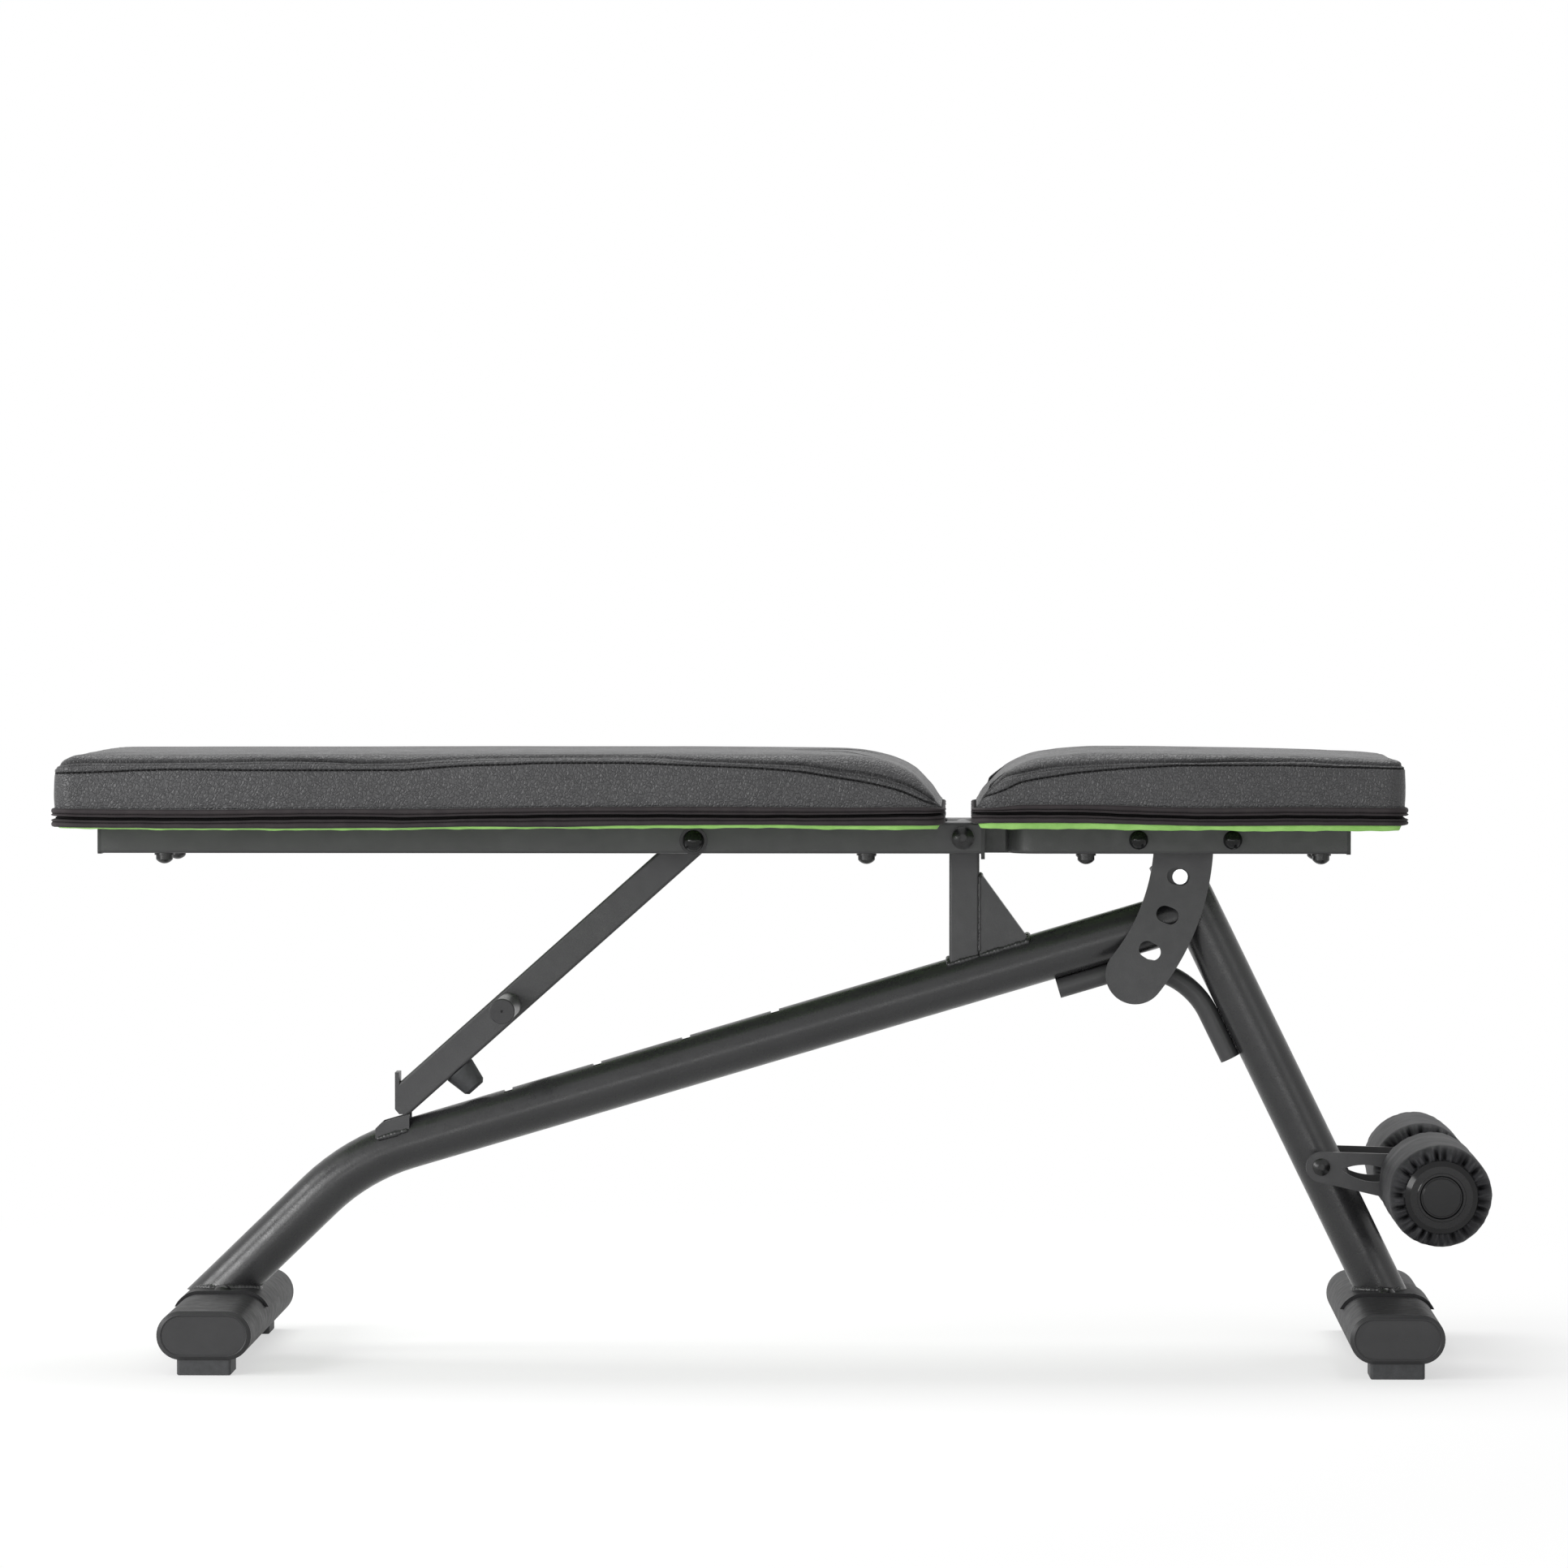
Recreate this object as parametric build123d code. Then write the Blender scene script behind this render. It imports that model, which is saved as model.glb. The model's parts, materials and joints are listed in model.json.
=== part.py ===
from build123d import *
import os
from math import asin, cos, degrees, radians, sin, sqrt, tan

# Adjustable weight bench: a bent round main tube on two oval foot bars, a backrest held up by a
# strut whose tongue drops into slots in the main tube, a seat held by a pull pin through a slotted
# arc plate, and two foam rollers for the feet.
#
# All sizes are in millimetres. The bench is laid out from its main pivot: X forward from the
# pivot's axis, Y across the bench, Z up from the floor. export_parts() then moves everything so
# that the origin lies on the floor, under the middle of the whole bench.

# ---------------------------------------------------------------- driving dimensions
FIT = 0.1                    # radial play of a bolt or pin in its hole
GAP = 0.3                    # running clearance between pieces that move past each other

# main pivot, shared by backrest and seat
PIVOT_Z = 412.5
PIVOT_BOLT_R = 5.0
PIVOT_HEAD_R = 8.7
PIVOT_HEAD_H = 5.0
PIVOT_SLEEVE_R = 12.5
PIVOT_SLEEVE_HALF = 16.5     # half length across the bench
WASHER_T = 1.6

# welded frame
MAIN_R = 19.75               # round main tube
LEG_R = 19.0                 # round front leg
TUBE_WALL = 1.5
MAIN_SLOPE = 16.53           # degrees above level
MAIN_AXIS_Z = 297.4          # height of the main tube's axis under the pivot
REAR_CORNER_X = -482.5       # where the main run and the rear leg would cross
REAR_LEG_SLOPE = 44.0
REAR_BEND_R = 170.0
LEG_SLOPE = 64.05            # front leg, degrees above level
LEG_PAST_PIN = 15.66         # how far the leg runs on past the pull pin
LEG_PLUG_H = 3.5
LEG_PLUG_SPIGOT = 3.5
STRUT_SLOT_X = -149.8        # crest position of the slot nearest the pivot
STRUT_SLOT_PITCH = 73.8      # along the tube
STRUT_SLOT_COUNT = 4
STRUT_SLOT_LONG = 17.0       # across the tube
STRUT_SLOT_WIDE = 7.0        # along the tube
POST_X = 1.1                 # its middle, just in front of the pivot
POST_SIDE = 24.0
POST_WALL = 1.5
POST_ROUND = 2.5
POST_TOP_DROP = 5.5          # below the pivot, so that its walls end square on the sleeve
GUSSET_T = 3.0
GUSSET_TOP_Z = 380.0
GUSSET_LIP = 3.2             # short level top of the gusset
GUSSET_REACH = 37.4          # how far its foot lies in front of the post
BRACE_R = 8.0
BRACE_WALL = 1.5
BRACE_BEND_R = 63.0
BRACE_REAR_X = 75.7
BRACE_LOW_Z = 235.5

# feet
BAR_LONG = 73.4              # oval foot bar, fore and aft
BAR_HIGH = 38.0
BAR_WALL = 1.5
BAR_CAP_T = 4.0
BAR_CAP_SPIGOT = 14.0
BAR_CAP_WALL = 2.5
BAR_CAP_BEVEL = 2.4
FRONT_FOOT_X = 335.0
FRONT_FOOT_HALF = 200.0      # half width over the end caps
REAR_FOOT_X = -587.0
REAR_FOOT_HALF = 190.0
RUBBER_H = 12.0
RUBBER_LONG = 42.0
RUBBER_WIDE = 45.0
RUBBER_INSET = 3.0
RUBBER_ROUND = 2.5
SADDLE_T = 2.5
SADDLE_HALF = 45.0
SADDLE_DROP = 10.0           # how far the saddle reaches down the bar's shoulders
SADDLE_BOLT_Y = 33.0
SADDLE_BOLT_R = 4.0
SADDLE_HEAD_R = 7.0
SADDLE_HEAD_H = 4.0

# box tubes of the backrest and seat
BOX_HIGH = 25.0
BOX_WIDE = 20.0
BOX_WALL = 1.5
BOX_ROUND = 2.5
BOX_Y = 50.0                 # centre of each tube from the bench's middle plane
PLUG_T = 3.0
PLUG_LIP = 0.6               # how far a plug hangs below its tube
PLUG_HINGE_LIP = 4.4         # the same at the backrest's hinge end
PLUG_TOP_GAP = 0.2
PLUG_SPIGOT = 12.0
BACK_TUBE_REAR = -683.0
BACK_TUBE_FRONT = 17.3
BACK_CROSS_X = (-640.0, -110.0)
CROSS_LONG = 25.0
SEAT_TUBE_REAR = -12.5
SEAT_TUBE_FRONT = 305.0
SEAT_INNER_Y = 27.0          # seat tubes after their joggle inwards
JOGGLE_START = 42.0
JOGGLE_END = 49.5
JOGGLE_R = 13.0
SEAT_CROSS_X = 255.0
SPACER_R = 9.0

# strut
STRUT_X = -212.2             # its pivot on the backrest
STRUT_Z = 410.1              # a little under the tubes' middle line
STRUT_SIDE = 24.1
STRUT_WALL = 2.0
STRUT_SLOPE = 41.72
STRUT_BOLT_R = 5.0
STRUT_SLEEVE_R = 8.0
STRUT_WASHER_R = 10.9
STRUT_END_R = 12.1           # rounded top end
STRUT_FOOT_X = -448.3        # upright cut at the lower end
STRUT_FOOT_Z = 190.6
STRUT_PLATE_T = 3.4
STRUT_PLATE_TOP = 224.0
STRUT_PLATE_CUT = 4.0
HANDLE_X = -360.4
HANDLE_R = 9.5
HANDLE_WALL = 1.5
HANDLE_HALF = 110.0
HANDLE_CAP_R = 10.0
HANDLE_CAP_T = 3.5
BUMPER_ALONG = 263.7         # from the strut's pivot
BUMPER_BASE_R = 12.8
BUMPER_TIP_R = 9.7
BUMPER_LONG = 20.0
BUMPER_ROUND = 2.5
CATCH_REAR_X = -467.0
CATCH_FRONT_X = -440.0
CATCH_RAIL_T = 3.0
CATCH_STOP_T = 5.0
CATCH_HIGH = 3.4             # above the tube's crest
CATCH_DEPTH = 8.0            # how far its rails reach down the tube's sides

# seat adjusting plate and pull pin
PLATE_T = 4.0
PLATE_Y = -27.5              # near face
PLATE_INSIDE = 22.0          # plate's width inside and outside the slots' pitch circle
PLATE_OUTSIDE = 25.0
PLATE_END_ANGLE = 38.7
HOLE_R = 173.3               # pitch radius of the slots
HOLE_LONG = 18.0
HOLE_WIDE = 13.2
HOLE_FIRST = 10.5            # degrees below level
HOLE_PITCH = 10.45
HOLE_COUNT = 3
PLATE_BOLT_X = (138.2, 212.2)
PLATE_BOLT_Z = 411.0
PLATE_BOLT_R = 4.0
PLATE_HEAD_SIDE = 13.0       # beyond each bolt
PLATE_HEAD_RISE = 10.0       # above and below the bolts' line
PLATE_HEAD_FALL = 10.5
PLATE_HEAD_ROUND = 5.0
PLATE_SPACER_R = 7.0
CAP_R = 7.5                  # domed plastic caps over the plate bolts
CAP_H = 8.0
CAP_HOLLOW = 4.2             # depth of the hollow under each dome
CAP_WALL = 1.2
PIN_ARM = 174.8              # from the main pivot to the pull pin
PIN_R = 6.4
PIN_TIP_R = 6.0
PIN_TIP_LONG = 2.0
PIN_COLLAR_R = 8.0
PIN_COLLAR_LONG = 4.0
PIN_TRAVEL = 8.0
HOUSING_R = 11.0
HOUSING_HALF = 22.5
HOUSING_BORE_R = 8.4
HOUSING_NOSE = 5.0           # thick front wall that guides the pin
SPRING_WIRE_R = 0.6
SPRING_R = 7.2
SPRING_TURNS = 5
KNOB_R = 13.0
KNOB_WAIST_R = 9.0
KNOB_LONG = 21.0

# foot rollers
ROLLER_X = 368.0
ROLLER_Z = 141.0
ROLLER_R = 40.0
ROLLER_INNER_Y = 41.5
ROLLER_OUTER_Y = 199.0
ROLLER_ROUND = 12.0
ROLLER_BAR_R = 12.5
ROLLER_BAR_WALL = 1.5
ROLLER_CAP_R = 28.0
ROLLER_CAP_T = 6.0
ROLLER_CAP_SPIGOT = 20.0
ROLLER_RING_R = 19.0
ROLLER_PLUG_R = 15.0
LINK_T = 4.0
LINK_Y = 36.0                # inner face of each link plate
LINK_BOLT_Z = 152.0
LINK_SMALL_R = 12.0
LINK_LARGE_R = 20.5
LINK_SLOT_START = 16.0       # from the bolt
LINK_SLOT_END = 62.0
LINK_SLOT_HALF = 6.5
LINK_BOLT_R = 4.0
LINK_HEAD_R = 6.8
LINK_HEAD_H = 4.2
LINK_SPACER_R = 7.0

# upholstery
BOARD_T = 12.0
COVER_T = 1.2                # loose cover under each board
COVER_SAG = 5.5              # how far its sides hang below the tubes' tops
COVER_SAG_START = 73.0
BOARD_INSET = 4.0
PAD_HALF = 130.0
PAD_THICK = 43.8             # foam and vinyl above the board
PAD_CORNER_R = 15.0
PAD_LIP = 8.0                # upright part of a pad's hinge end
NOSE_DROP = 8.5
HEAD_DROP = 13.0             # rounding of the head end
HEAD_RUN = 22.0
BACK_FLAT_END = -92.0
BACK_NOSE_X = -56.0
SEAT_NOSE_X = 40.0
SEAT_FLAT_START = 73.0
SEAT_FLAT_END = 266.0
SEAT_EASE_X = 318.0
SEAT_FRONT_DROP = 15.0
ZIP_T = 3.0
ZIP_LOW = 2.2                # below the tubes' tops
NOTCH_SIDE = 4.0             # room beside each tube in the zip band's notch
BACK_PAD_REAR = -709.0
BACK_PAD_FRONT = -26.5
SEAT_PAD_REAR = 17.4
SEAT_PAD_FRONT = 345.4
BACK_PRESS_ANGLE = 135.0     # planes through the pivot where the two pads press together
SEAT_PRESS_ANGLE = 57.0
PAD_SCREW_R = 3.0
PAD_SCREW_HEAD_R = 6.7
PAD_SCREW_HEAD_H = 8.5
PAD_SCREW_BITE = 9.0
BACK_SCREW_X = (-631.0, -76.0)
SEAT_SCREW_X = (97.0, 282.0)

# ---------------------------------------------------------------- worked-out places
BOX_TOP = PIVOT_Z + BOX_HIGH / 2
BOX_LOW = PIVOT_Z - BOX_HIGH / 2
BOX_INNER = BOX_Y - BOX_WIDE / 2
BOX_OUTER = BOX_Y + BOX_WIDE / 2
SEAT_INNER_FACE = SEAT_INNER_Y - BOX_WIDE / 2
SEAT_OUTER_FACE = SEAT_INNER_Y + BOX_WIDE / 2
BOARD_LOW = BOX_TOP + COVER_T
BOARD_TOP = BOARD_LOW + BOARD_T
PAD_TOP = BOARD_TOP + PAD_THICK
REACH = 2 * FRONT_FOOT_HALF      # length of cutting blocks, past anything that they cut
BAR_TOP = RUBBER_H + BAR_HIGH
BAR_Z = RUBBER_H + BAR_HIGH / 2
FOAM_INNER_R = ROLLER_BAR_R + GAP
LEG_UP = (-cos(radians(LEG_SLOPE)), sin(radians(LEG_SLOPE)))
STRUT_DOWN = (-cos(radians(STRUT_SLOPE)), -sin(radians(STRUT_SLOPE)))
STRUT_UNDER = (sin(radians(STRUT_SLOPE)), -cos(radians(STRUT_SLOPE)))
PIN_X = PIN_ARM * cos(radians(HOLE_FIRST))    # the pin lies on the front leg's axis
PIN_Z = PIVOT_Z - PIN_ARM * sin(radians(HOLE_FIRST))
LEG_TOP_X = PIN_X + LEG_PAST_PIN * LEG_UP[0]
LEG_TOP_Z = PIN_Z + LEG_PAST_PIN * LEG_UP[1]
PLATE_BACK = PLATE_Y + PLATE_T
PLATE_INNER_R = HOLE_R - PLATE_INSIDE
PLATE_OUTER_R = HOLE_R + PLATE_OUTSIDE
PLATE_HEAD_TOP = PLATE_BOLT_Z + PLATE_HEAD_RISE
PLATE_HEAD_LOW = PLATE_BOLT_Z - PLATE_HEAD_FALL
PIN_TIP_Y = PLATE_BACK + GAP
HANDLE_Z = STRUT_Z + (HANDLE_X - STRUT_X) * tan(radians(STRUT_SLOPE))


def main_axis_z(x):
    """Height of the main tube's straight axis at x."""
    return MAIN_AXIS_Z + x * tan(radians(MAIN_SLOPE))


def main_crest_z(x):
    """Height of the main tube's top line at x."""
    return main_axis_z(x) + MAIN_R / cos(radians(MAIN_SLOPE))


def leg_axis_x(z):
    """Place of the front leg's axis at height z."""
    return LEG_TOP_X + (LEG_TOP_Z - z) / tan(radians(LEG_SLOPE))


LINK_BOLT_X = leg_axis_x(LINK_BOLT_Z)
# where the main tube's axis meets the front leg's axis
LEG_RUN = 1 / tan(radians(LEG_SLOPE))
JOINT_X = (LEG_TOP_X + (LEG_TOP_Z - MAIN_AXIS_Z) * LEG_RUN) / (1 + tan(radians(MAIN_SLOPE)) * LEG_RUN)


# ---------------------------------------------------------------- shaping helpers
def side_solid(outline, y_from, y_to):
    """Extrude an outline drawn in X and Z from y_from to y_to."""
    return extrude(Plane.XZ.offset(-y_from) * outline, amount=y_to - y_from, dir=(0, 1, 0))


def outline(*points):
    """Closed straight-sided outline through points."""
    return Polygon(*points, align=None)


def across(x, z, radius, y_from, y_to):
    """Round bar across the bench."""
    return extrude(Plane((x, y_from, z), x_dir=(1, 0, 0), z_dir=(0, 1, 0)) * Circle(radius),
                   amount=y_to - y_from)


def turned(x, z, *profile):
    """Solid of revolution about a line across the bench; profile is (radius, y) points."""
    return revolve(Plane((x, 0, z)) * Polygon(*profile, align=None), axis=Axis((x, 0, z), (0, 1, 0)))


def domed(x, z, radius, y_base, height, sign):
    """Dome standing on the plane y_base, bulging towards sign, cut from a ball."""
    ball_r = (radius ** 2 + height ** 2) / (2 * height)
    centre_y = y_base + sign * (height - ball_r)
    ball = Pos(x, centre_y, z) * Sphere(ball_r)
    keep = across(x, z, radius, y_base, y_base + sign * height)
    return ball & keep


def far_side(shape):
    """The same piece on the far side of the bench."""
    return mirror(shape, about=Plane.XZ)


def both_sides(shape):
    """A piece and its mirror image as one set."""
    return Compound(children=[shape, far_side(shape)])


def group(shapes):
    """Several separate solids in one sub-part."""
    solids = []
    for shape in shapes:
        solids.extend(shape.solids())
    return Compound(children=solids)


def hex_socket(x, z, across_flats, y_from, y_to):
    """Hexagonal bar, used to cut a socket or to make a nut."""
    shape = RegularPolygon(across_flats / 2, 6, major_radius=False)
    return extrude(Plane((x, y_from, z), x_dir=(1, 0, 0), z_dir=(0, 1, 0)) * shape,
                   amount=y_to - y_from)


def button_head(x, z, radius, height, y_face, sign, socket):
    """Button head standing on y_face, with a hexagon socket."""
    rim = height * 0.3
    head = across(x, z, radius, y_face, y_face + sign * rim)
    head += domed(x, z, radius, y_face + sign * rim, height - rim, sign)
    return head - hex_socket(x, z, socket, y_face + sign * height * 0.45, y_face + sign * height * 2)


def round_tube(path_line, radius, wall):
    """Outer and inner solids of a round tube along a path."""
    start = Plane(origin=path_line @ 0, z_dir=path_line % 0)
    outer = sweep(start * Circle(radius), path=path_line)
    inner = sweep(start * Circle(radius - wall), path=path_line)
    return outer, inner


def oval(long, high):
    """Flat oval section, long fore and aft."""
    return SlotOverall(long, high)


def press_wedge(angle_from, angle_to):
    """Space between two planes through the pivot, angles measured up from straight ahead."""
    points = [(0, PIVOT_Z)]
    for angle in (angle_from, (angle_from + angle_to) / 2, angle_to):
        points.append((REACH * cos(radians(angle)), PIVOT_Z + REACH * sin(radians(angle))))
    return side_solid(outline(*points), -PAD_HALF * 2, PAD_HALF * 2)


# ---------------------------------------------------------------- welded frame
def main_path():
    """Axis of the main tube: rear leg, bend, long run up to the front leg."""
    corner = (REAR_CORNER_X, 0, main_axis_z(REAR_CORNER_X))
    drop = corner[2] - BAR_Z
    foot = (corner[0] - drop / tan(radians(REAR_LEG_SLOPE)), 0, BAR_Z)
    end_x = JOINT_X - TUBE_WALL * 2
    return FilletPolyline(foot, corner, (end_x, 0, main_axis_z(end_x)), radius=REAR_BEND_R)


def leg_path():
    """Axis of the front leg, from inside its foot bar to its top."""
    return Line((leg_axis_x(BAR_Z), 0, BAR_Z), (LEG_TOP_X, 0, LEG_TOP_Z))


def saddle_body(x, half, thickness):
    """Foot bar's outline grown by thickness, as a solid block of the saddle's length."""
    grown = Pos(x, BAR_Z) * oval(BAR_LONG + 2 * thickness, BAR_HIGH + 2 * thickness)
    return side_solid(grown, -half, half)


def foot_trim(x):
    """Saddle's outline and everything under the bar's top, to trim a leg's end."""
    block = Pos(x, BAR_TOP - REACH / 2) * Rectangle(REACH, REACH)
    return saddle_body(x, REACH / 2, SADDLE_T) + side_solid(block, -REACH / 2, REACH / 2)


def main_tube():
    outer, inner = round_tube(main_path(), MAIN_R, TUBE_WALL)
    leg_outer, _ = round_tube(leg_path(), LEG_R, TUBE_WALL)
    tube = outer - inner - leg_outer - foot_trim(REAR_FOOT_X)
    rise, run = sin(radians(MAIN_SLOPE)), cos(radians(MAIN_SLOPE))
    for index in range(STRUT_SLOT_COUNT):
        x = STRUT_SLOT_X - index * STRUT_SLOT_PITCH * run
        place = Plane(origin=(x, 0, main_crest_z(x)), x_dir=(run, 0, rise), z_dir=(-rise, 0, run))
        tube -= extrude(place * Rectangle(STRUT_SLOT_WIDE, STRUT_SLOT_LONG), amount=MAIN_R / 2, both=True)
    return tube


def front_leg():
    outer, inner = round_tube(leg_path(), LEG_R, TUBE_WALL)
    tube = outer - inner - foot_trim(FRONT_FOOT_X)
    tube -= across(LINK_BOLT_X, LINK_BOLT_Z, LINK_BOLT_R + FIT, -LEG_R * 2, LEG_R * 2)
    return tube - across(PIN_X, PIN_Z, HOUSING_R, -LEG_R * 2, LEG_R * 2)


def leg_top_plug():
    """Domed plug in the leg's top end."""
    ball_r = (LEG_R ** 2 + LEG_PLUG_H ** 2) / (2 * LEG_PLUG_H)
    dome = Pos(0, 0, LEG_PLUG_H - ball_r) * Sphere(ball_r)
    dome = dome & (Pos(0, 0, LEG_PLUG_H / 2) * Cylinder(LEG_R, LEG_PLUG_H))
    spigot = Pos(0, 0, -LEG_PLUG_SPIGOT / 2) * Cylinder(LEG_R - TUBE_WALL - FIT, LEG_PLUG_SPIGOT)
    place = Plane(origin=(LEG_TOP_X, 0, LEG_TOP_Z), z_dir=(LEG_UP[0], 0, LEG_UP[1]))
    return place * (dome + spigot)


def leg_brace():
    """Bent tube welded under the main tube and down the back of the front leg."""
    main_off = MAIN_R + BRACE_R
    leg_off = LEG_R + BRACE_R
    slope = radians(MAIN_SLOPE)
    leg = radians(LEG_SLOPE)
    under = (sin(slope) * main_off, -cos(slope) * main_off)
    rear = (BRACE_REAR_X, main_axis_z(BRACE_REAR_X - under[0]) + under[1])
    behind = (-sin(leg) * leg_off, -cos(leg) * leg_off)
    low = (leg_axis_x(BRACE_LOW_Z - behind[1]) + behind[0], BRACE_LOW_Z)
    # corner where the two offset lines meet
    t_main, t_leg = tan(slope), -tan(leg)
    corner_x = (low[1] - rear[1] + t_main * rear[0] - t_leg * low[0]) / (t_main - t_leg)
    corner = (corner_x, rear[1] + t_main * (corner_x - rear[0]))
    line = FilletPolyline((rear[0], 0, rear[1]), (corner[0], 0, corner[1]), (low[0], 0, low[1]),
                          radius=BRACE_BEND_R)
    outer, inner = round_tube(line, BRACE_R, BRACE_WALL)
    main_outer, _ = round_tube(main_path(), MAIN_R, TUBE_WALL)
    leg_outer, _ = round_tube(leg_path(), LEG_R, TUBE_WALL)
    return outer - inner - main_outer - leg_outer


def seat_post():
    """Square post standing on the main tube and coped to the pivot's sleeve."""
    half = POST_SIDE / 2
    foot, top = main_axis_z(POST_X), PIVOT_Z - POST_TOP_DROP
    section = RectangleRounded(POST_SIDE, POST_SIDE, POST_ROUND)
    hollow = POST_SIDE - 2 * POST_WALL
    section -= RectangleRounded(hollow, hollow, POST_ROUND - POST_WALL / 2)
    post = Pos(POST_X, 0, foot) * extrude(section, amount=top - foot)
    main_outer, _ = round_tube(main_path(), MAIN_R, TUBE_WALL)
    return post - main_outer - across(0, PIVOT_Z, PIVOT_SLEEVE_R, -half * 2, half * 2)


def post_gusset():
    """Folded gusset: two cheeks flush with the post and a sloping web in front."""
    half = POST_SIDE / 2
    face = POST_X + half
    foot_x = face + GUSSET_REACH
    foot_z = main_crest_z(foot_x)
    low = foot_z - 2 * MAIN_R
    shape = outline((face, low), (face, GUSSET_TOP_Z), (face + GUSSET_LIP, GUSSET_TOP_Z),
                    (foot_x, foot_z), (foot_x, low))
    inner = outline((face - 1, low), (face - 1, GUSSET_TOP_Z - GUSSET_T),
                    (face + GUSSET_LIP - GUSSET_T / 2, GUSSET_TOP_Z - GUSSET_T),
                    (foot_x - GUSSET_T * 1.3, foot_z), (foot_x - GUSSET_T * 1.3, low))
    gusset = side_solid(shape, -half, half) - side_solid(inner, -half + GUSSET_T, half - GUSSET_T)
    main_outer, _ = round_tube(main_path(), MAIN_R, TUBE_WALL)
    parts = (gusset - main_outer).solids()
    return parts.sort_by(Axis.Z)[-1]


def pivot_sleeve():
    sleeve = across(0, PIVOT_Z, PIVOT_SLEEVE_R, -PIVOT_SLEEVE_HALF, PIVOT_SLEEVE_HALF)
    return sleeve - across(0, PIVOT_Z, PIVOT_BOLT_R + FIT, -PIVOT_SLEEVE_HALF, PIVOT_SLEEVE_HALF)


def pivot_bolt():
    """Button-head bolt from the near side, long enough for its nut."""
    face = BOX_OUTER + GAP + WASHER_T
    bolt = across(0, PIVOT_Z, PIVOT_BOLT_R, -face, face + PIVOT_BOLT_R * 2)
    return bolt + button_head(0, PIVOT_Z, PIVOT_HEAD_R, PIVOT_HEAD_H, -face, -1, 6.0)


def bolt_nut(x, z, bolt_r, y_face):
    """Locking nut on the far side, standing on y_face."""
    size = bolt_r * 3.3
    nut = hex_socket(x, z, size, y_face, y_face + bolt_r * 1.7)
    nut += across(x, z, size * 0.42, y_face, y_face + bolt_r * 2.0)
    return nut - across(x, z, bolt_r, y_face - 1, y_face + bolt_r * 4)


def ring(x, z, outer_r, inner_r, y_from, y_to):
    """Washer or spacer round a bolt."""
    return across(x, z, outer_r, y_from, y_to) - across(x, z, inner_r, y_from, y_to)


def pivot_washers():
    """Steel washers outside the tubes, plastic ones between backrest and seat."""
    hole = PIVOT_BOLT_R + FIT
    outer = BOX_OUTER + GAP
    near_inner = SEAT_OUTER_FACE + GAP
    pieces = [ring(0, PIVOT_Z, PIVOT_HEAD_R + 0.6, hole, outer, outer + WASHER_T),
              ring(0, PIVOT_Z, PIVOT_HEAD_R + 0.6, hole, -outer - WASHER_T, -outer),
              ring(0, PIVOT_Z, PIVOT_HEAD_R, hole, near_inner, BOX_INNER - GAP),
              ring(0, PIVOT_Z, PIVOT_HEAD_R, hole, -BOX_INNER + GAP, -near_inner)]
    return group(pieces)


def strut_catch():
    """Small channel welded on the main tube: two rails beside the strut's foot and a rear stop."""
    inner_half = STRUT_SIDE / 2 + 2 * GAP
    outer_half = inner_half + CATCH_RAIL_T
    stop_x = CATCH_REAR_X + CATCH_STOP_T
    rear_z, stop_z, front_z = (main_crest_z(x) for x in (CATCH_REAR_X, stop_x, CATCH_FRONT_X))
    shape = outline((CATCH_REAR_X, rear_z - CATCH_DEPTH), (CATCH_REAR_X, rear_z),
                    (stop_x, stop_z + CATCH_HIGH), (CATCH_FRONT_X, front_z + CATCH_HIGH),
                    (CATCH_FRONT_X, front_z - CATCH_DEPTH))
    block = side_solid(shape, -outer_half, outer_half)
    channel = Pos(stop_x + REACH / 2, PIVOT_Z / 2) * Rectangle(REACH, PIVOT_Z)
    block -= side_solid(channel, -inner_half, inner_half)
    main_outer, _ = round_tube(main_path(), MAIN_R, TUBE_WALL)
    return block - main_outer


# ---------------------------------------------------------------- feet
def foot_bar(x, half):
    section = Pos(x, BAR_Z) * (oval(BAR_LONG, BAR_HIGH)
                               - oval(BAR_LONG - 2 * BAR_WALL, BAR_HIGH - 2 * BAR_WALL))
    length = half - BAR_CAP_T
    bar = side_solid(section, -length, length)
    for y in (-SADDLE_BOLT_Y, SADDLE_BOLT_Y):
        bar -= Pos(x, y, BAR_TOP) * Cylinder(SADDLE_BOLT_R + FIT, 8 * BAR_WALL)
    return bar


def saddle(x):
    """Curved plate hugging the bar's top and shoulders, bolted down outside the leg."""
    plate = saddle_body(x, SADDLE_HALF, SADDLE_T) - saddle_body(x, SADDLE_HALF * 2, 0)
    keep = Pos(x, BAR_TOP - SADDLE_DROP + REACH / 2) * Rectangle(REACH, REACH)
    plate = plate & side_solid(keep, -SADDLE_HALF, SADDLE_HALF)
    for y in (-SADDLE_BOLT_Y, SADDLE_BOLT_Y):
        plate -= Pos(x, y, BAR_TOP) * Cylinder(SADDLE_BOLT_R + FIT, 8 * SADDLE_T)
    return plate


def saddle_bolts():
    """Short carriage bolts through each saddle and the bar's top wall."""
    bolts = []
    for x in (REAR_FOOT_X, FRONT_FOOT_X):
        for y in (-SADDLE_BOLT_Y, SADDLE_BOLT_Y):
            face = BAR_TOP + SADDLE_T
            ball_r = (SADDLE_HEAD_R ** 2 + SADDLE_HEAD_H ** 2) / (2 * SADDLE_HEAD_H)
            head = Pos(x, y, face + SADDLE_HEAD_H - ball_r) * Sphere(ball_r)
            head &= Pos(x, y, face + SADDLE_HEAD_H / 2) * Cylinder(SADDLE_HEAD_R, SADDLE_HEAD_H)
            shank = SADDLE_T + BAR_WALL + 8.0
            bolts.append(head + Pos(x, y, face - shank / 2) * Cylinder(SADDLE_BOLT_R, shank))
    return group(bolts)


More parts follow.
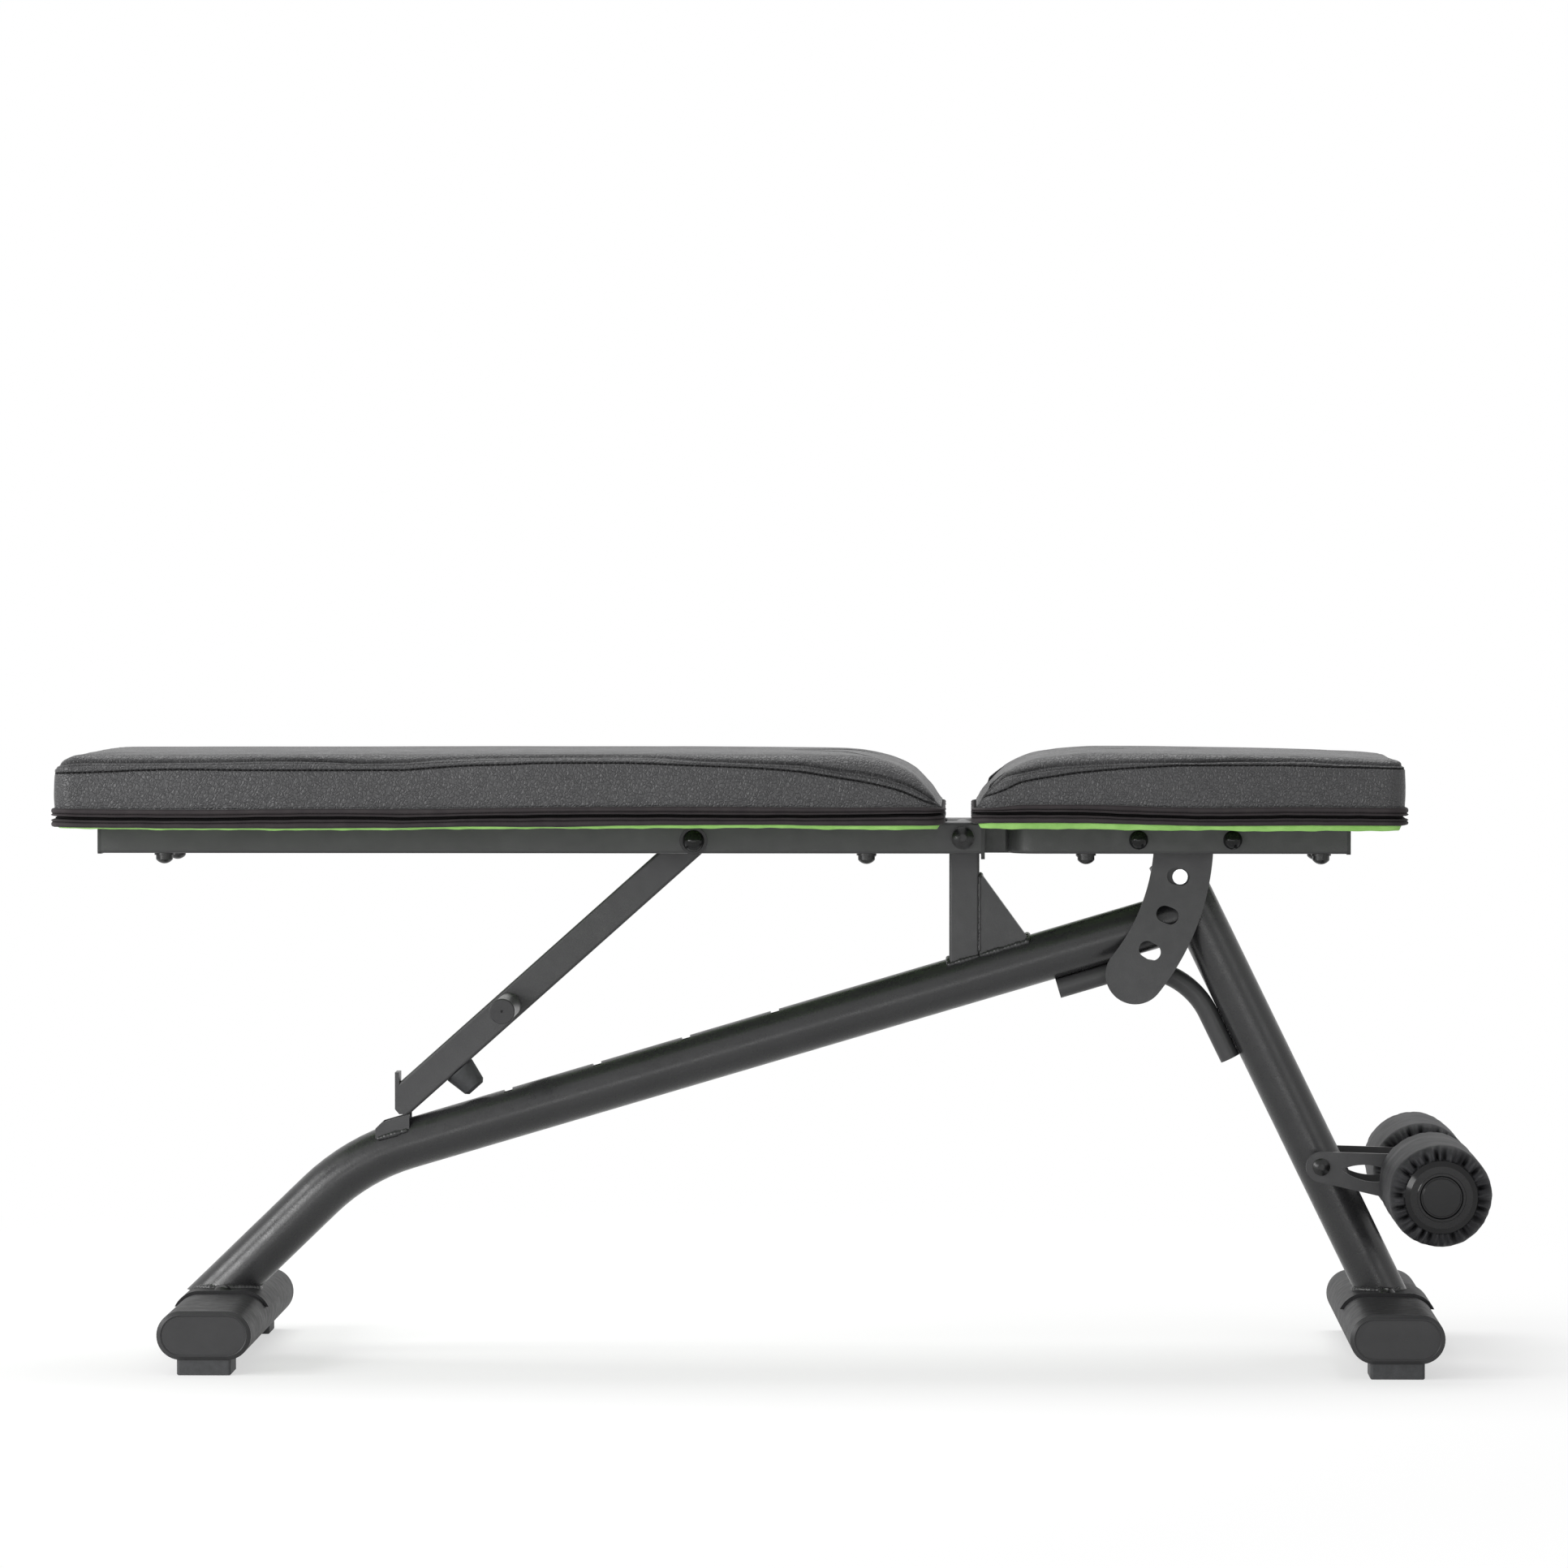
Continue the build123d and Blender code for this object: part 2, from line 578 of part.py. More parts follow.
def foot_end_cap(x, half):
    """Moulded plug: rounded face as large as the bar and a thin-walled spigot inside it."""
    face = side_solid(Pos(x, BAR_Z) * oval(BAR_LONG, BAR_HIGH), -half, -half + BAR_CAP_T)
    face = chamfer(face.edges().group_by(Axis.Y)[0], BAR_CAP_BEVEL)
    outer = 2 * (BAR_WALL + FIT)
    inner = outer + 2 * BAR_CAP_WALL
    spigot = oval(BAR_LONG - outer, BAR_HIGH - outer) - oval(BAR_LONG - inner, BAR_HIGH - inner)
    return face + side_solid(Pos(x, BAR_Z) * spigot, -half + BAR_CAP_T, -half + BAR_CAP_T + BAR_CAP_SPIGOT)


def rubber_foot(x, half):
    """Block under the bar's end, shaped to the bar above it."""
    y_low = -half + RUBBER_INSET
    top = RUBBER_H + 2.0
    block = Pos(x, y_low + RUBBER_WIDE / 2, 0) * extrude(
        RectangleRounded(RUBBER_LONG, RUBBER_WIDE, RUBBER_ROUND), amount=top)
    block = chamfer(block.edges().group_by(Axis.Z)[0], 0.8)
    bar = side_solid(Pos(x, BAR_Z) * oval(BAR_LONG, BAR_HIGH), -half, half)
    return block - bar


# ---------------------------------------------------------------- foot rollers
def link_plate():
    """Tapered link from the leg's bolt to the roller bar, with a lens-shaped window."""
    dx, dz = ROLLER_X - LINK_BOLT_X, ROLLER_Z - LINK_BOLT_Z
    span = sqrt(dx ** 2 + dz ** 2)
    tilt = degrees(asin(dz / span))
    lean = asin((LINK_LARGE_R - LINK_SMALL_R) / span)
    up = (-sin(lean), cos(lean))
    flank = [(LINK_SMALL_R * up[0], -LINK_SMALL_R * up[1]),
             (span + LINK_LARGE_R * up[0], -LINK_LARGE_R * up[1]),
             (span + LINK_LARGE_R * up[0], LINK_LARGE_R * up[1]),
             (LINK_SMALL_R * up[0], LINK_SMALL_R * up[1])]
    shape = outline(*flank) + Circle(LINK_SMALL_R) + Pos(span, 0) * Circle(LINK_LARGE_R)
    chord = (LINK_SLOT_END - LINK_SLOT_START) / 2
    lens_r = (chord ** 2 + LINK_SLOT_HALF ** 2) / (2 * LINK_SLOT_HALF)
    middle = LINK_SLOT_START + chord
    lens = Pos(middle, LINK_SLOT_HALF - lens_r) * Circle(lens_r)
    lens &= Pos(middle, lens_r - LINK_SLOT_HALF) * Circle(lens_r)
    shape = shape - lens - Circle(LINK_BOLT_R + FIT) - Pos(span, 0) * Circle(ROLLER_BAR_R)
    shape = Pos(LINK_BOLT_X, LINK_BOLT_Z) * Rot(0, 0, tilt) * shape
    return side_solid(shape, -LINK_Y - LINK_T, -LINK_Y)


def link_spacer():
    """Collar between the leg and a link, coped to the round leg."""
    collar = ring(LINK_BOLT_X, LINK_BOLT_Z, LINK_SPACER_R, LINK_BOLT_R + FIT, -LINK_Y, 0)
    leg_outer, _ = round_tube(leg_path(), LEG_R, TUBE_WALL)
    return collar - leg_outer


def link_bolt():
    face = LINK_Y + LINK_T
    bolt = across(LINK_BOLT_X, LINK_BOLT_Z, LINK_BOLT_R, -face, face + LINK_BOLT_R * 2)
    return bolt + button_head(LINK_BOLT_X, LINK_BOLT_Z, LINK_HEAD_R, LINK_HEAD_H, -face, -1, 5.0)


def roller_bar():
    bar = across(ROLLER_X, ROLLER_Z, ROLLER_BAR_R, -ROLLER_OUTER_Y, ROLLER_OUTER_Y)
    return bar - across(ROLLER_X, ROLLER_Z, ROLLER_BAR_R - ROLLER_BAR_WALL, -ROLLER_OUTER_Y, ROLLER_OUTER_Y)


def roller_end_cap():
    """Bevelled disc with a raised ring round a round plug, pushed into the bar's end."""
    y = -ROLLER_OUTER_Y - GAP
    face = y - ROLLER_CAP_T
    inner = ROLLER_BAR_R - ROLLER_BAR_WALL - FIT
    profile = [(0, y + ROLLER_CAP_SPIGOT), (inner, y + ROLLER_CAP_SPIGOT), (inner, y), (ROLLER_CAP_R, y),
               (ROLLER_CAP_R, y - ROLLER_CAP_T * 0.35), (ROLLER_CAP_R - 4.0, face + 0.6),
               (ROLLER_RING_R, face + 0.6), (ROLLER_RING_R - 0.6, face),
               (ROLLER_RING_R - 2.2, face), (ROLLER_PLUG_R + 0.8, face + 1.6),
               (ROLLER_PLUG_R, face + 1.6), (ROLLER_PLUG_R, face + 0.6), (ROLLER_PLUG_R - 0.8, face + 0.2),
               (0, face + 0.2)]
    return turned(ROLLER_X, ROLLER_Z, *profile)


def roller_foam():
    """Foam sleeve with rounded ends, free to turn on the bar."""
    foam = across(ROLLER_X, ROLLER_Z, ROLLER_R, -ROLLER_OUTER_Y, -ROLLER_INNER_Y)
    foam = fillet(foam.edges(), ROLLER_ROUND)
    return foam - across(ROLLER_X, ROLLER_Z, FOAM_INNER_R, -ROLLER_OUTER_Y * 2, 0)


# ---------------------------------------------------------------- box tubes
def box_section(grow=0.0):
    """Box tube section; grow enlarges it evenly."""
    return RectangleRounded(BOX_WIDE + 2 * grow, BOX_HIGH + 2 * grow, max(BOX_ROUND + grow, 0.5))


def drill_y(solid, holes, radius, y_from, y_to):
    """Cross-drill a solid at (x, z) places."""
    for x, z in holes:
        solid -= across(x, z, radius, y_from, y_to)
    return solid


def drill_screws(solid, places):
    """Drill a box tube from below for its pad screws."""
    for x, y in places:
        solid -= Pos(x, y, PIVOT_Z) * Cylinder(PAD_SCREW_R + FIT, BOX_HIGH * 2)
    return solid


def back_tube():
    section = Plane(origin=(BACK_TUBE_REAR + PLUG_T, -BOX_Y, PIVOT_Z), x_dir=(0, 1, 0), z_dir=(1, 0, 0))
    length = BACK_TUBE_FRONT - BACK_TUBE_REAR - 2 * PLUG_T
    tube = extrude(section * (box_section() - box_section(-BOX_WALL)), amount=length)
    tube = drill_y(tube, [(0, PIVOT_Z)], PIVOT_BOLT_R + FIT, -BOX_OUTER * 2, 0)
    tube = drill_y(tube, [(STRUT_X, STRUT_Z)], STRUT_BOLT_R + FIT, -BOX_OUTER * 2, 0)
    return drill_screws(tube, [(x, -BOX_Y) for x in BACK_SCREW_X])


def box_plug(x_face, y, direction, drop):
    """Plastic plug: flange hanging drop below the tube, hollow spigot; direction points outwards."""
    place = Plane(origin=(x_face, y, PIVOT_Z), x_dir=(0, 1, 0), z_dir=(1, 0, 0))
    high = BOX_HIGH - PLUG_TOP_GAP + drop
    face = Pos(0, (BOX_HIGH - high) / 2 - PLUG_TOP_GAP) * RectangleRounded(BOX_WIDE, high, BOX_ROUND)
    flange = extrude(place * face, amount=direction * PLUG_T)
    spigot = box_section(-BOX_WALL - FIT) - box_section(-BOX_WALL - 2.0)
    return flange + extrude(place * spigot, amount=-direction * PLUG_SPIGOT)


def back_tube_plugs():
    pieces = []
    for y in (-BOX_Y, BOX_Y):
        pieces.append(box_plug(BACK_TUBE_REAR + PLUG_T, y, -1, PLUG_LIP))
        pieces.append(box_plug(BACK_TUBE_FRONT - PLUG_T, y, 1, PLUG_HINGE_LIP) - across(
            0, PIVOT_Z, PIVOT_BOLT_R + FIT, -BOX_OUTER * 2, BOX_OUTER * 2))
    return group(pieces)


def cross_tube(x):
    """Box tube welded between a pair of side tubes."""
    place = Plane(origin=(x, -BOX_INNER, PIVOT_Z), x_dir=(1, 0, 0), z_dir=(0, 1, 0))
    section = RectangleRounded(CROSS_LONG, BOX_HIGH, BOX_ROUND)
    section -= RectangleRounded(CROSS_LONG - 2 * BOX_WALL, BOX_HIGH - 2 * BOX_WALL, BOX_ROUND - BOX_WALL / 2)
    return extrude(place * section, amount=2 * BOX_INNER)


def seat_tube():
    """Box tube that joggles inwards to pass between the backrest's tubes."""
    points = [(SEAT_TUBE_REAR, -SEAT_INNER_Y, PIVOT_Z), (JOGGLE_START, -SEAT_INNER_Y, PIVOT_Z),
              (JOGGLE_END, -BOX_Y, PIVOT_Z), (SEAT_TUBE_FRONT - PLUG_T, -BOX_Y, PIVOT_Z)]
    line = FilletPolyline(*points, radius=JOGGLE_R)
    start = Plane(origin=points[0], x_dir=(0, 1, 0), z_dir=(1, 0, 0))
    tube = sweep(start * box_section(), path=line) - sweep(start * box_section(-BOX_WALL), path=line)
    tube = drill_y(tube, [(0, PIVOT_Z)], PIVOT_BOLT_R + FIT, -BOX_OUTER * 2, 0)
    tube = drill_y(tube, [(x, PLATE_BOLT_Z) for x in PLATE_BOLT_X], PLATE_BOLT_R + FIT, -BOX_OUTER * 2, 0)
    return drill_screws(tube, [(x, -BOX_Y) for x in SEAT_SCREW_X])


def seat_tube_plugs():
    return group([box_plug(SEAT_TUBE_FRONT - PLUG_T, y, 1, PLUG_LIP) for y in (-BOX_Y, BOX_Y)])


# ---------------------------------------------------------------- strut
def strut_point(along, under=0.0):
    """Place (x, z) at a distance along the strut from its pivot and under its axis."""
    return (STRUT_X + along * STRUT_DOWN[0] + under * STRUT_UNDER[0],
            STRUT_Z + along * STRUT_DOWN[1] + under * STRUT_UNDER[1])


def strut_tube():
    """Square tube: rounded round its bolt at the top, cut upright and level at the foot."""
    half = STRUT_SIDE / 2
    length = (STRUT_X - STRUT_FOOT_X) / cos(radians(STRUT_SLOPE)) + STRUT_SIDE
    x_dir = (STRUT_DOWN[0], 0, STRUT_DOWN[1])
    place = Plane(origin=(STRUT_X, 0, STRUT_Z), x_dir=(0, 1, 0), z_dir=x_dir)
    section = RectangleRounded(STRUT_SIDE, STRUT_SIDE, 2.5)
    hollow = RectangleRounded(STRUT_SIDE - 2 * STRUT_WALL, STRUT_SIDE - 2 * STRUT_WALL, 1.0)
    tube = extrude(place * (section - hollow), amount=length)
    crown = extrude(place * (section - hollow), amount=-half)
    tube += crown & across(STRUT_X, STRUT_Z, STRUT_END_R, -half, half)
    tall = Pos(STRUT_FOOT_X - REACH / 2, PIVOT_Z / 2) * Rectangle(REACH, PIVOT_Z)
    flat = Pos(STRUT_FOOT_X, STRUT_FOOT_Z - REACH / 2) * Rectangle(REACH, REACH)
    tube = tube - side_solid(tall, -half * 2, half * 2) - side_solid(flat, -half * 2, half * 2)
    tube -= across(STRUT_X, STRUT_Z, STRUT_SLEEVE_R, -half * 2, half * 2)
    return tube - across(HANDLE_X, HANDLE_Z, HANDLE_R, -half * 2, half * 2)


def strut_end_plate():
    """Plate closing the strut's upright end; its bevelled lower edge is the tongue."""
    half = STRUT_SIDE / 2
    left = STRUT_FOOT_X - STRUT_PLATE_T
    shape = outline((left, STRUT_PLATE_TOP), (STRUT_FOOT_X, STRUT_PLATE_TOP), (STRUT_FOOT_X, STRUT_FOOT_Z),
                    (left, STRUT_FOOT_Z + STRUT_PLATE_CUT))
    return side_solid(shape, -half, half)


def strut_sleeve():
    """Bush welded across the strut's top end."""
    half = STRUT_SIDE / 2
    return ring(STRUT_X, STRUT_Z, STRUT_SLEEVE_R, STRUT_BOLT_R + FIT, -half, half)


def strut_handle():
    length = HANDLE_HALF - HANDLE_CAP_T
    return ring(HANDLE_X, HANDLE_Z, HANDLE_R, HANDLE_R - HANDLE_WALL, -length, length)


def handle_cap():
    """Round plastic plug with a small centre dimple."""
    y = -HANDLE_HALF + HANDLE_CAP_T
    face = -HANDLE_HALF
    inner = HANDLE_R - HANDLE_WALL - FIT
    return turned(HANDLE_X, HANDLE_Z, (0, y + 12), (inner, y + 12), (inner, y), (HANDLE_CAP_R, y),
                  (HANDLE_CAP_R, face + 0.8), (HANDLE_CAP_R - 0.8, face), (1.2, face), (0, face + 1.2))


def strut_bumper():
    """Tapered rubber buffer under the strut."""
    base = strut_point(BUMPER_ALONG, STRUT_SIDE / 2)
    place = Plane(origin=(base[0], 0, base[1]), x_dir=(0, 1, 0), z_dir=(STRUT_UNDER[0], 0, STRUT_UNDER[1]))
    profile = outline((0, 0), (BUMPER_BASE_R, 0), (BUMPER_BASE_R, BUMPER_ROUND / 2),
                      (BUMPER_TIP_R, BUMPER_LONG - BUMPER_ROUND),
                      (BUMPER_TIP_R - BUMPER_ROUND, BUMPER_LONG), (0, BUMPER_LONG))
    flat = Plane(origin=place.origin, x_dir=place.x_dir, z_dir=place.y_dir)
    side = Plane(origin=place.origin, x_dir=place.x_dir, z_dir=-place.y_dir)
    use = flat if (flat.y_dir - place.z_dir).length < 1e-6 else side
    return revolve(use * profile, axis=Axis(place.origin, place.z_dir))


def strut_bolt():
    """Long bolt through both backrest tubes."""
    face = BOX_OUTER + WASHER_T
    bolt = across(STRUT_X, STRUT_Z, STRUT_BOLT_R, -face, face)
    for sign in (-1, 1):
        bolt += across(STRUT_X, STRUT_Z, STRUT_BOLT_R + 1.4, sign * face, sign * (face + CAP_HOLLOW - 0.4))
    return bolt


def strut_bolt_caps():
    """Washer under each end and a domed plastic cap over it."""
    pieces = []
    face = BOX_OUTER
    for sign in (-1, 1):
        low, high = sorted((sign * face, sign * (face + WASHER_T)))
        pieces.append(ring(STRUT_X, STRUT_Z, STRUT_WASHER_R, STRUT_BOLT_R + FIT, low, high))
        base = sign * (face + WASHER_T)
        pieces.append(dome_cap(STRUT_X, STRUT_Z, CAP_R + 1.0, CAP_H, base, sign, STRUT_BOLT_R + 1.6))
    return group(pieces)


def dome_cap(x, z, radius, height, y_base, sign, inner_r):
    """Domed cap, hollow over the bolt's end."""
    cap = across(x, z, radius, y_base, y_base + sign * CAP_WALL)
    cap += domed(x, z, radius, y_base + sign * CAP_WALL, height - CAP_WALL, sign)
    return cap - across(x, z, inner_r, y_base, y_base + sign * CAP_HOLLOW)


def strut_spacers():
    """Tubes that keep the strut in the middle of its bolt."""
    gap_from = STRUT_SIDE / 2 + GAP
    spacer = ring(STRUT_X, STRUT_Z, SPACER_R, STRUT_BOLT_R + FIT, -BOX_INNER, -gap_from)
    return both_sides(spacer)


# ---------------------------------------------------------------- seat adjusting plate
def adjust_plate():
    """Arc plate about the main pivot, hung from two bolts; its slots set the seat's tilt."""
    reach = PLATE_OUTER_R * 2
    end = radians(PLATE_END_ANGLE)
    sector = outline((0, 0), (reach, 0), (reach, -reach * tan(end / 2)),
                     (reach * cos(end), -reach * sin(end)))
    band = (Circle(PLATE_OUTER_R) - Circle(PLATE_INNER_R)) & sector
    middle_r = (PLATE_OUTER_R + PLATE_INNER_R) / 2
    tip_r = (PLATE_OUTER_R - PLATE_INNER_R) / 2
    band += Pos(middle_r * cos(end), -middle_r * sin(end)) * Circle(tip_r)
    band = Pos(0, PIVOT_Z) * band
    left = PLATE_BOLT_X[0] - PLATE_HEAD_SIDE
    right = PLATE_BOLT_X[-1] + PLATE_HEAD_SIDE
    head = Pos((left + right) / 2, (PLATE_HEAD_TOP + PLATE_HEAD_LOW) / 2) * RectangleRounded(
        right - left, PLATE_HEAD_TOP - PLATE_HEAD_LOW, PLATE_HEAD_ROUND)
    plate = side_solid(band + head, PLATE_Y, PLATE_BACK)
    for index in range(HOLE_COUNT):
        angle = HOLE_FIRST + index * HOLE_PITCH
        slot = Pos(0, PIVOT_Z) * Rot(0, 0, -angle) * Pos(HOLE_R, 0) * SlotOverall(HOLE_LONG, HOLE_WIDE)
        plate -= side_solid(slot, PLATE_Y - 1, PLATE_BACK + 1)
    return drill_y(plate, [(x, PLATE_BOLT_Z) for x in PLATE_BOLT_X], PLATE_BOLT_R + FIT, -BOX_OUTER, 0)


def plate_bolts():
    bolts = []
    for x in PLATE_BOLT_X:
        bolt = across(x, PLATE_BOLT_Z, PLATE_BOLT_R, -BOX_OUTER, BOX_OUTER)
        for sign in (-1, 1):
            head = BOX_OUTER + CAP_HOLLOW - 0.4
            bolt += across(x, PLATE_BOLT_Z, PLATE_BOLT_R + 1.5, sign * BOX_OUTER, sign * head)
        bolts.append(bolt)
    return group(bolts)


def plate_caps():
    caps = []
    for x in PLATE_BOLT_X:
        for sign in (-1, 1):
            caps.append(dome_cap(x, PLATE_BOLT_Z, CAP_R, CAP_H, sign * BOX_OUTER, sign, PLATE_BOLT_R + 1.7))
    return group(caps)


def plate_spacers():
    """Tubes on the plate's bolts that fix its place across the bench."""
    pieces = []
    for x in PLATE_BOLT_X:
        pieces.append(ring(x, PLATE_BOLT_Z, PLATE_SPACER_R, PLATE_BOLT_R + FIT, -BOX_INNER, PLATE_Y))
        pieces.append(ring(x, PLATE_BOLT_Z, PLATE_SPACER_R, PLATE_BOLT_R + FIT, PLATE_BACK, BOX_INNER))
    return group(pieces)


# ---------------------------------------------------------------- pull pin
def pin_housing():
    """Round housing across the leg's top: guide bore in front, spring bore behind."""
    body = across(PIN_X, PIN_Z, HOUSING_R, -HOUSING_HALF, HOUSING_HALF)
    body -= across(PIN_X, PIN_Z, PIN_R + FIT, -HOUSING_HALF, HOUSING_HALF)
    return body - across(PIN_X, PIN_Z, HOUSING_BORE_R, -HOUSING_HALF + HOUSING_NOSE,
                         HOUSING_HALF - HOUSING_NOSE / 2)


def pull_pin():
    """Chamfered pin with the collar that its spring pushes."""
    collar_y = -HOUSING_HALF + HOUSING_NOSE + PIN_TRAVEL + GAP
    knob_y = HOUSING_HALF + PIN_TRAVEL + GAP
    tip = PIN_TIP_Y
    return turned(PIN_X, PIN_Z, (0, tip), (PIN_TIP_R, tip), (PIN_R, tip + PIN_TIP_LONG), (PIN_R, collar_y),
                  (PIN_COLLAR_R, collar_y), (PIN_COLLAR_R, collar_y + PIN_COLLAR_LONG),
                  (PIN_R, collar_y + PIN_COLLAR_LONG), (PIN_R, knob_y), (PIN_R - 1.0, knob_y),
                  (PIN_R - 1.0, knob_y + KNOB_LONG * 0.7), (0, knob_y + KNOB_LONG * 0.7))


def pin_spring():
    """Coil spring between the pin's collar and the housing's rear wall."""
    start = -HOUSING_HALF + HOUSING_NOSE + PIN_TRAVEL + GAP + PIN_COLLAR_LONG + SPRING_WIRE_R + 0.2
    end = HOUSING_HALF - HOUSING_NOSE / 2 - SPRING_WIRE_R - 0.2
    coil = Helix(pitch=(end - start) / SPRING_TURNS, height=end - start, radius=SPRING_R)
    wire = sweep(Plane(origin=coil @ 0, z_dir=coil % 0) * Circle(SPRING_WIRE_R), path=coil, is_frenet=True)
    return Pos(PIN_X, start, PIN_Z) * Rot(-90, 0, 0) * wire


def pin_knob():
    """Pull knob: flared grip round the pin's rear end."""
    y = HOUSING_HALF + PIN_TRAVEL + GAP
    end = y + KNOB_LONG
    hole = PIN_R - 1.0
    return turned(PIN_X, PIN_Z, (hole, y), (KNOB_R - 3.0, y), (KNOB_WAIST_R, y + KNOB_LONG * 0.3),
                  (KNOB_WAIST_R, y + KNOB_LONG * 0.5), (KNOB_R, y + KNOB_LONG * 0.72), (KNOB_R, end - 2.0),
                  (KNOB_R - 2.0, end), (0, end), (0, y + KNOB_LONG * 0.7), (hole, y + KNOB_LONG * 0.7))


# ---------------------------------------------------------------- upholstery
def plan_block(x_rear, x_front, half, corner, z_low, z_high):
    """Slab with rounded corners in plan."""
    slab = extrude(RectangleRounded(x_front - x_rear, 2 * half, corner), amount=z_high - z_low)
    return Pos((x_rear + x_front) / 2, 0, z_low) * slab


def board(x_rear, x_front, screws):
    """Plywood board, drilled blind from below for its screws."""
    slab = plan_block(x_rear + BOARD_INSET, x_front - BOARD_INSET, PAD_HALF - BOARD_INSET,
                      PAD_CORNER_R - BOARD_INSET, BOARD_LOW, BOARD_TOP)
    for x in screws:
        for y in (-BOX_Y, BOX_Y):
            slab -= Pos(x, y, BOARD_LOW + PAD_SCREW_BITE / 2) * Cylinder(PAD_SCREW_R + FIT, PAD_SCREW_BITE)
    return slab


def under_cover(x_rear, x_front, screws):
    """Loose cover under the board: flat over the tubes, hanging a little outside them."""
    half = PAD_HALF - ZIP_T - FIT
    low = BOX_TOP - COVER_SAG
    section = Polygon((-half, BOARD_LOW), (-half, low + 2.5), (-half + 6, low), (-COVER_SAG_START - 5, low),
                      (-COVER_SAG_START, BOX_TOP), (COVER_SAG_START, BOX_TOP), (COVER_SAG_START + 5, low),
                      (half - 6, low), (half, low + 2.5), (half, BOARD_LOW), align=None)
    run = extrude(Plane.YZ.offset(x_rear) * section, amount=x_front - x_rear)
    inset = ZIP_T + FIT
    cover = run & plan_block(x_rear + inset, x_front - inset, half, PAD_CORNER_R - inset, low - 5, BOARD_LOW)
    for x in screws:
        for y in (-BOX_Y, BOX_Y):
            cover -= Pos(x, y, BOX_TOP) * Cylinder(PAD_SCREW_R + FIT, COVER_T * 4)
    return cover


def zip_band(x_rear, x_front, notch_x):
    """Band round the lower edge, raised where it rides over the tubes."""
    low = BOX_TOP - ZIP_LOW
    outer = plan_block(x_rear, x_front, PAD_HALF, PAD_CORNER_R, low, BOARD_TOP)
    band = outer - plan_block(x_rear + ZIP_T, x_front - ZIP_T, PAD_HALF - ZIP_T, PAD_CORNER_R - ZIP_T,
                              low - 1, BOARD_TOP + 1)
    notch = Box(PAD_CORNER_R, 2 * (BOX_OUTER + NOTCH_SIDE), 2 * BOARD_T)
    return band - Pos(notch_x, 0, BOX_TOP + GAP - BOARD_T) * notch


def back_pad():
    """Long flat pad that rounds off at the head and slopes down to the hinge."""
    rear, front = BACK_PAD_REAR, BACK_PAD_FRONT
    crown = Spline((rear, PAD_TOP - HEAD_DROP), (rear + 4, PAD_TOP - 4), (rear + HEAD_RUN, PAD_TOP),
                   tangents=((0, 1), (1, 0)))
    nose = Spline((BACK_FLAT_END, PAD_TOP), (BACK_NOSE_X, PAD_TOP - NOSE_DROP), (front, BOARD_TOP + PAD_LIP),
                  tangents=((1, 0), (0.3, -1)))
    curve = Curve() + [Line((rear, BOARD_TOP), crown @ 0), crown, Line(crown @ 1, nose @ 0), nose]
    profile = make_face(curve + Polyline(nose @ 1, (front, BOARD_TOP), (rear, BOARD_TOP)))
    pad = side_solid(profile, -PAD_HALF, PAD_HALF)
    pad &= plan_block(rear, front, PAD_HALF, PAD_CORNER_R, BOARD_TOP, PAD_TOP)
    return pad - press_wedge(0, BACK_PRESS_ANGLE)


def seat_pad():
    """Short pad that rises from the hinge and eases down to its front edge."""
    rear, front = SEAT_PAD_REAR, SEAT_PAD_FRONT
    rise = Spline((rear, BOARD_TOP + PAD_LIP), (SEAT_NOSE_X, PAD_TOP - NOSE_DROP), (SEAT_FLAT_START, PAD_TOP),
                  tangents=((0.3, 1), (1, 0)))
    ease = Spline((SEAT_FLAT_END, PAD_TOP), (SEAT_EASE_X, PAD_TOP - 4), (front - 1.5, PAD_TOP - 10),
                  (front, PAD_TOP - SEAT_FRONT_DROP), tangents=((1, 0), (0, -1)))
    curve = Curve() + [rise, Line(rise @ 1, ease @ 0), ease]
    profile = make_face(curve + Polyline(ease @ 1, (front, BOARD_TOP), (rear, BOARD_TOP), rise @ 0))
    pad = side_solid(profile, -PAD_HALF, PAD_HALF)
    pad &= plan_block(rear, front, PAD_HALF, PAD_CORNER_R, BOARD_TOP, PAD_TOP)
    return pad - press_wedge(SEAT_PRESS_ANGLE, 180)


def pad_screws(places):
    """Flanged round-head screws through the tubes into the boards."""
    screws = []
    for x in places:
        for y in (-BOX_Y, BOX_Y):
            face = BOX_LOW
            flange = Pos(x, y, face - 0.8) * Cylinder(PAD_SCREW_HEAD_R + 1.2, WASHER_T)
            drum = PAD_SCREW_HEAD_H - WASHER_T
            head = Pos(x, y, face - WASHER_T - drum / 4) * Cylinder(PAD_SCREW_HEAD_R, drum / 2)
            ball_h = drum / 2
            ball_r = (PAD_SCREW_HEAD_R ** 2 + ball_h ** 2) / (2 * ball_h)
            low = face - WASHER_T - drum / 2
            ball = Pos(x, y, low - ball_h + ball_r) * Sphere(ball_r)
            head += ball & Pos(x, y, low - ball_h / 2) * Cylinder(PAD_SCREW_HEAD_R, ball_h)
            top = BOARD_LOW + PAD_SCREW_BITE - 0.5
            shank = Pos(x, y, (face + top) / 2) * Cylinder(PAD_SCREW_R, top - face)
            screws.append(flange + head + shank)
    return group(screws)


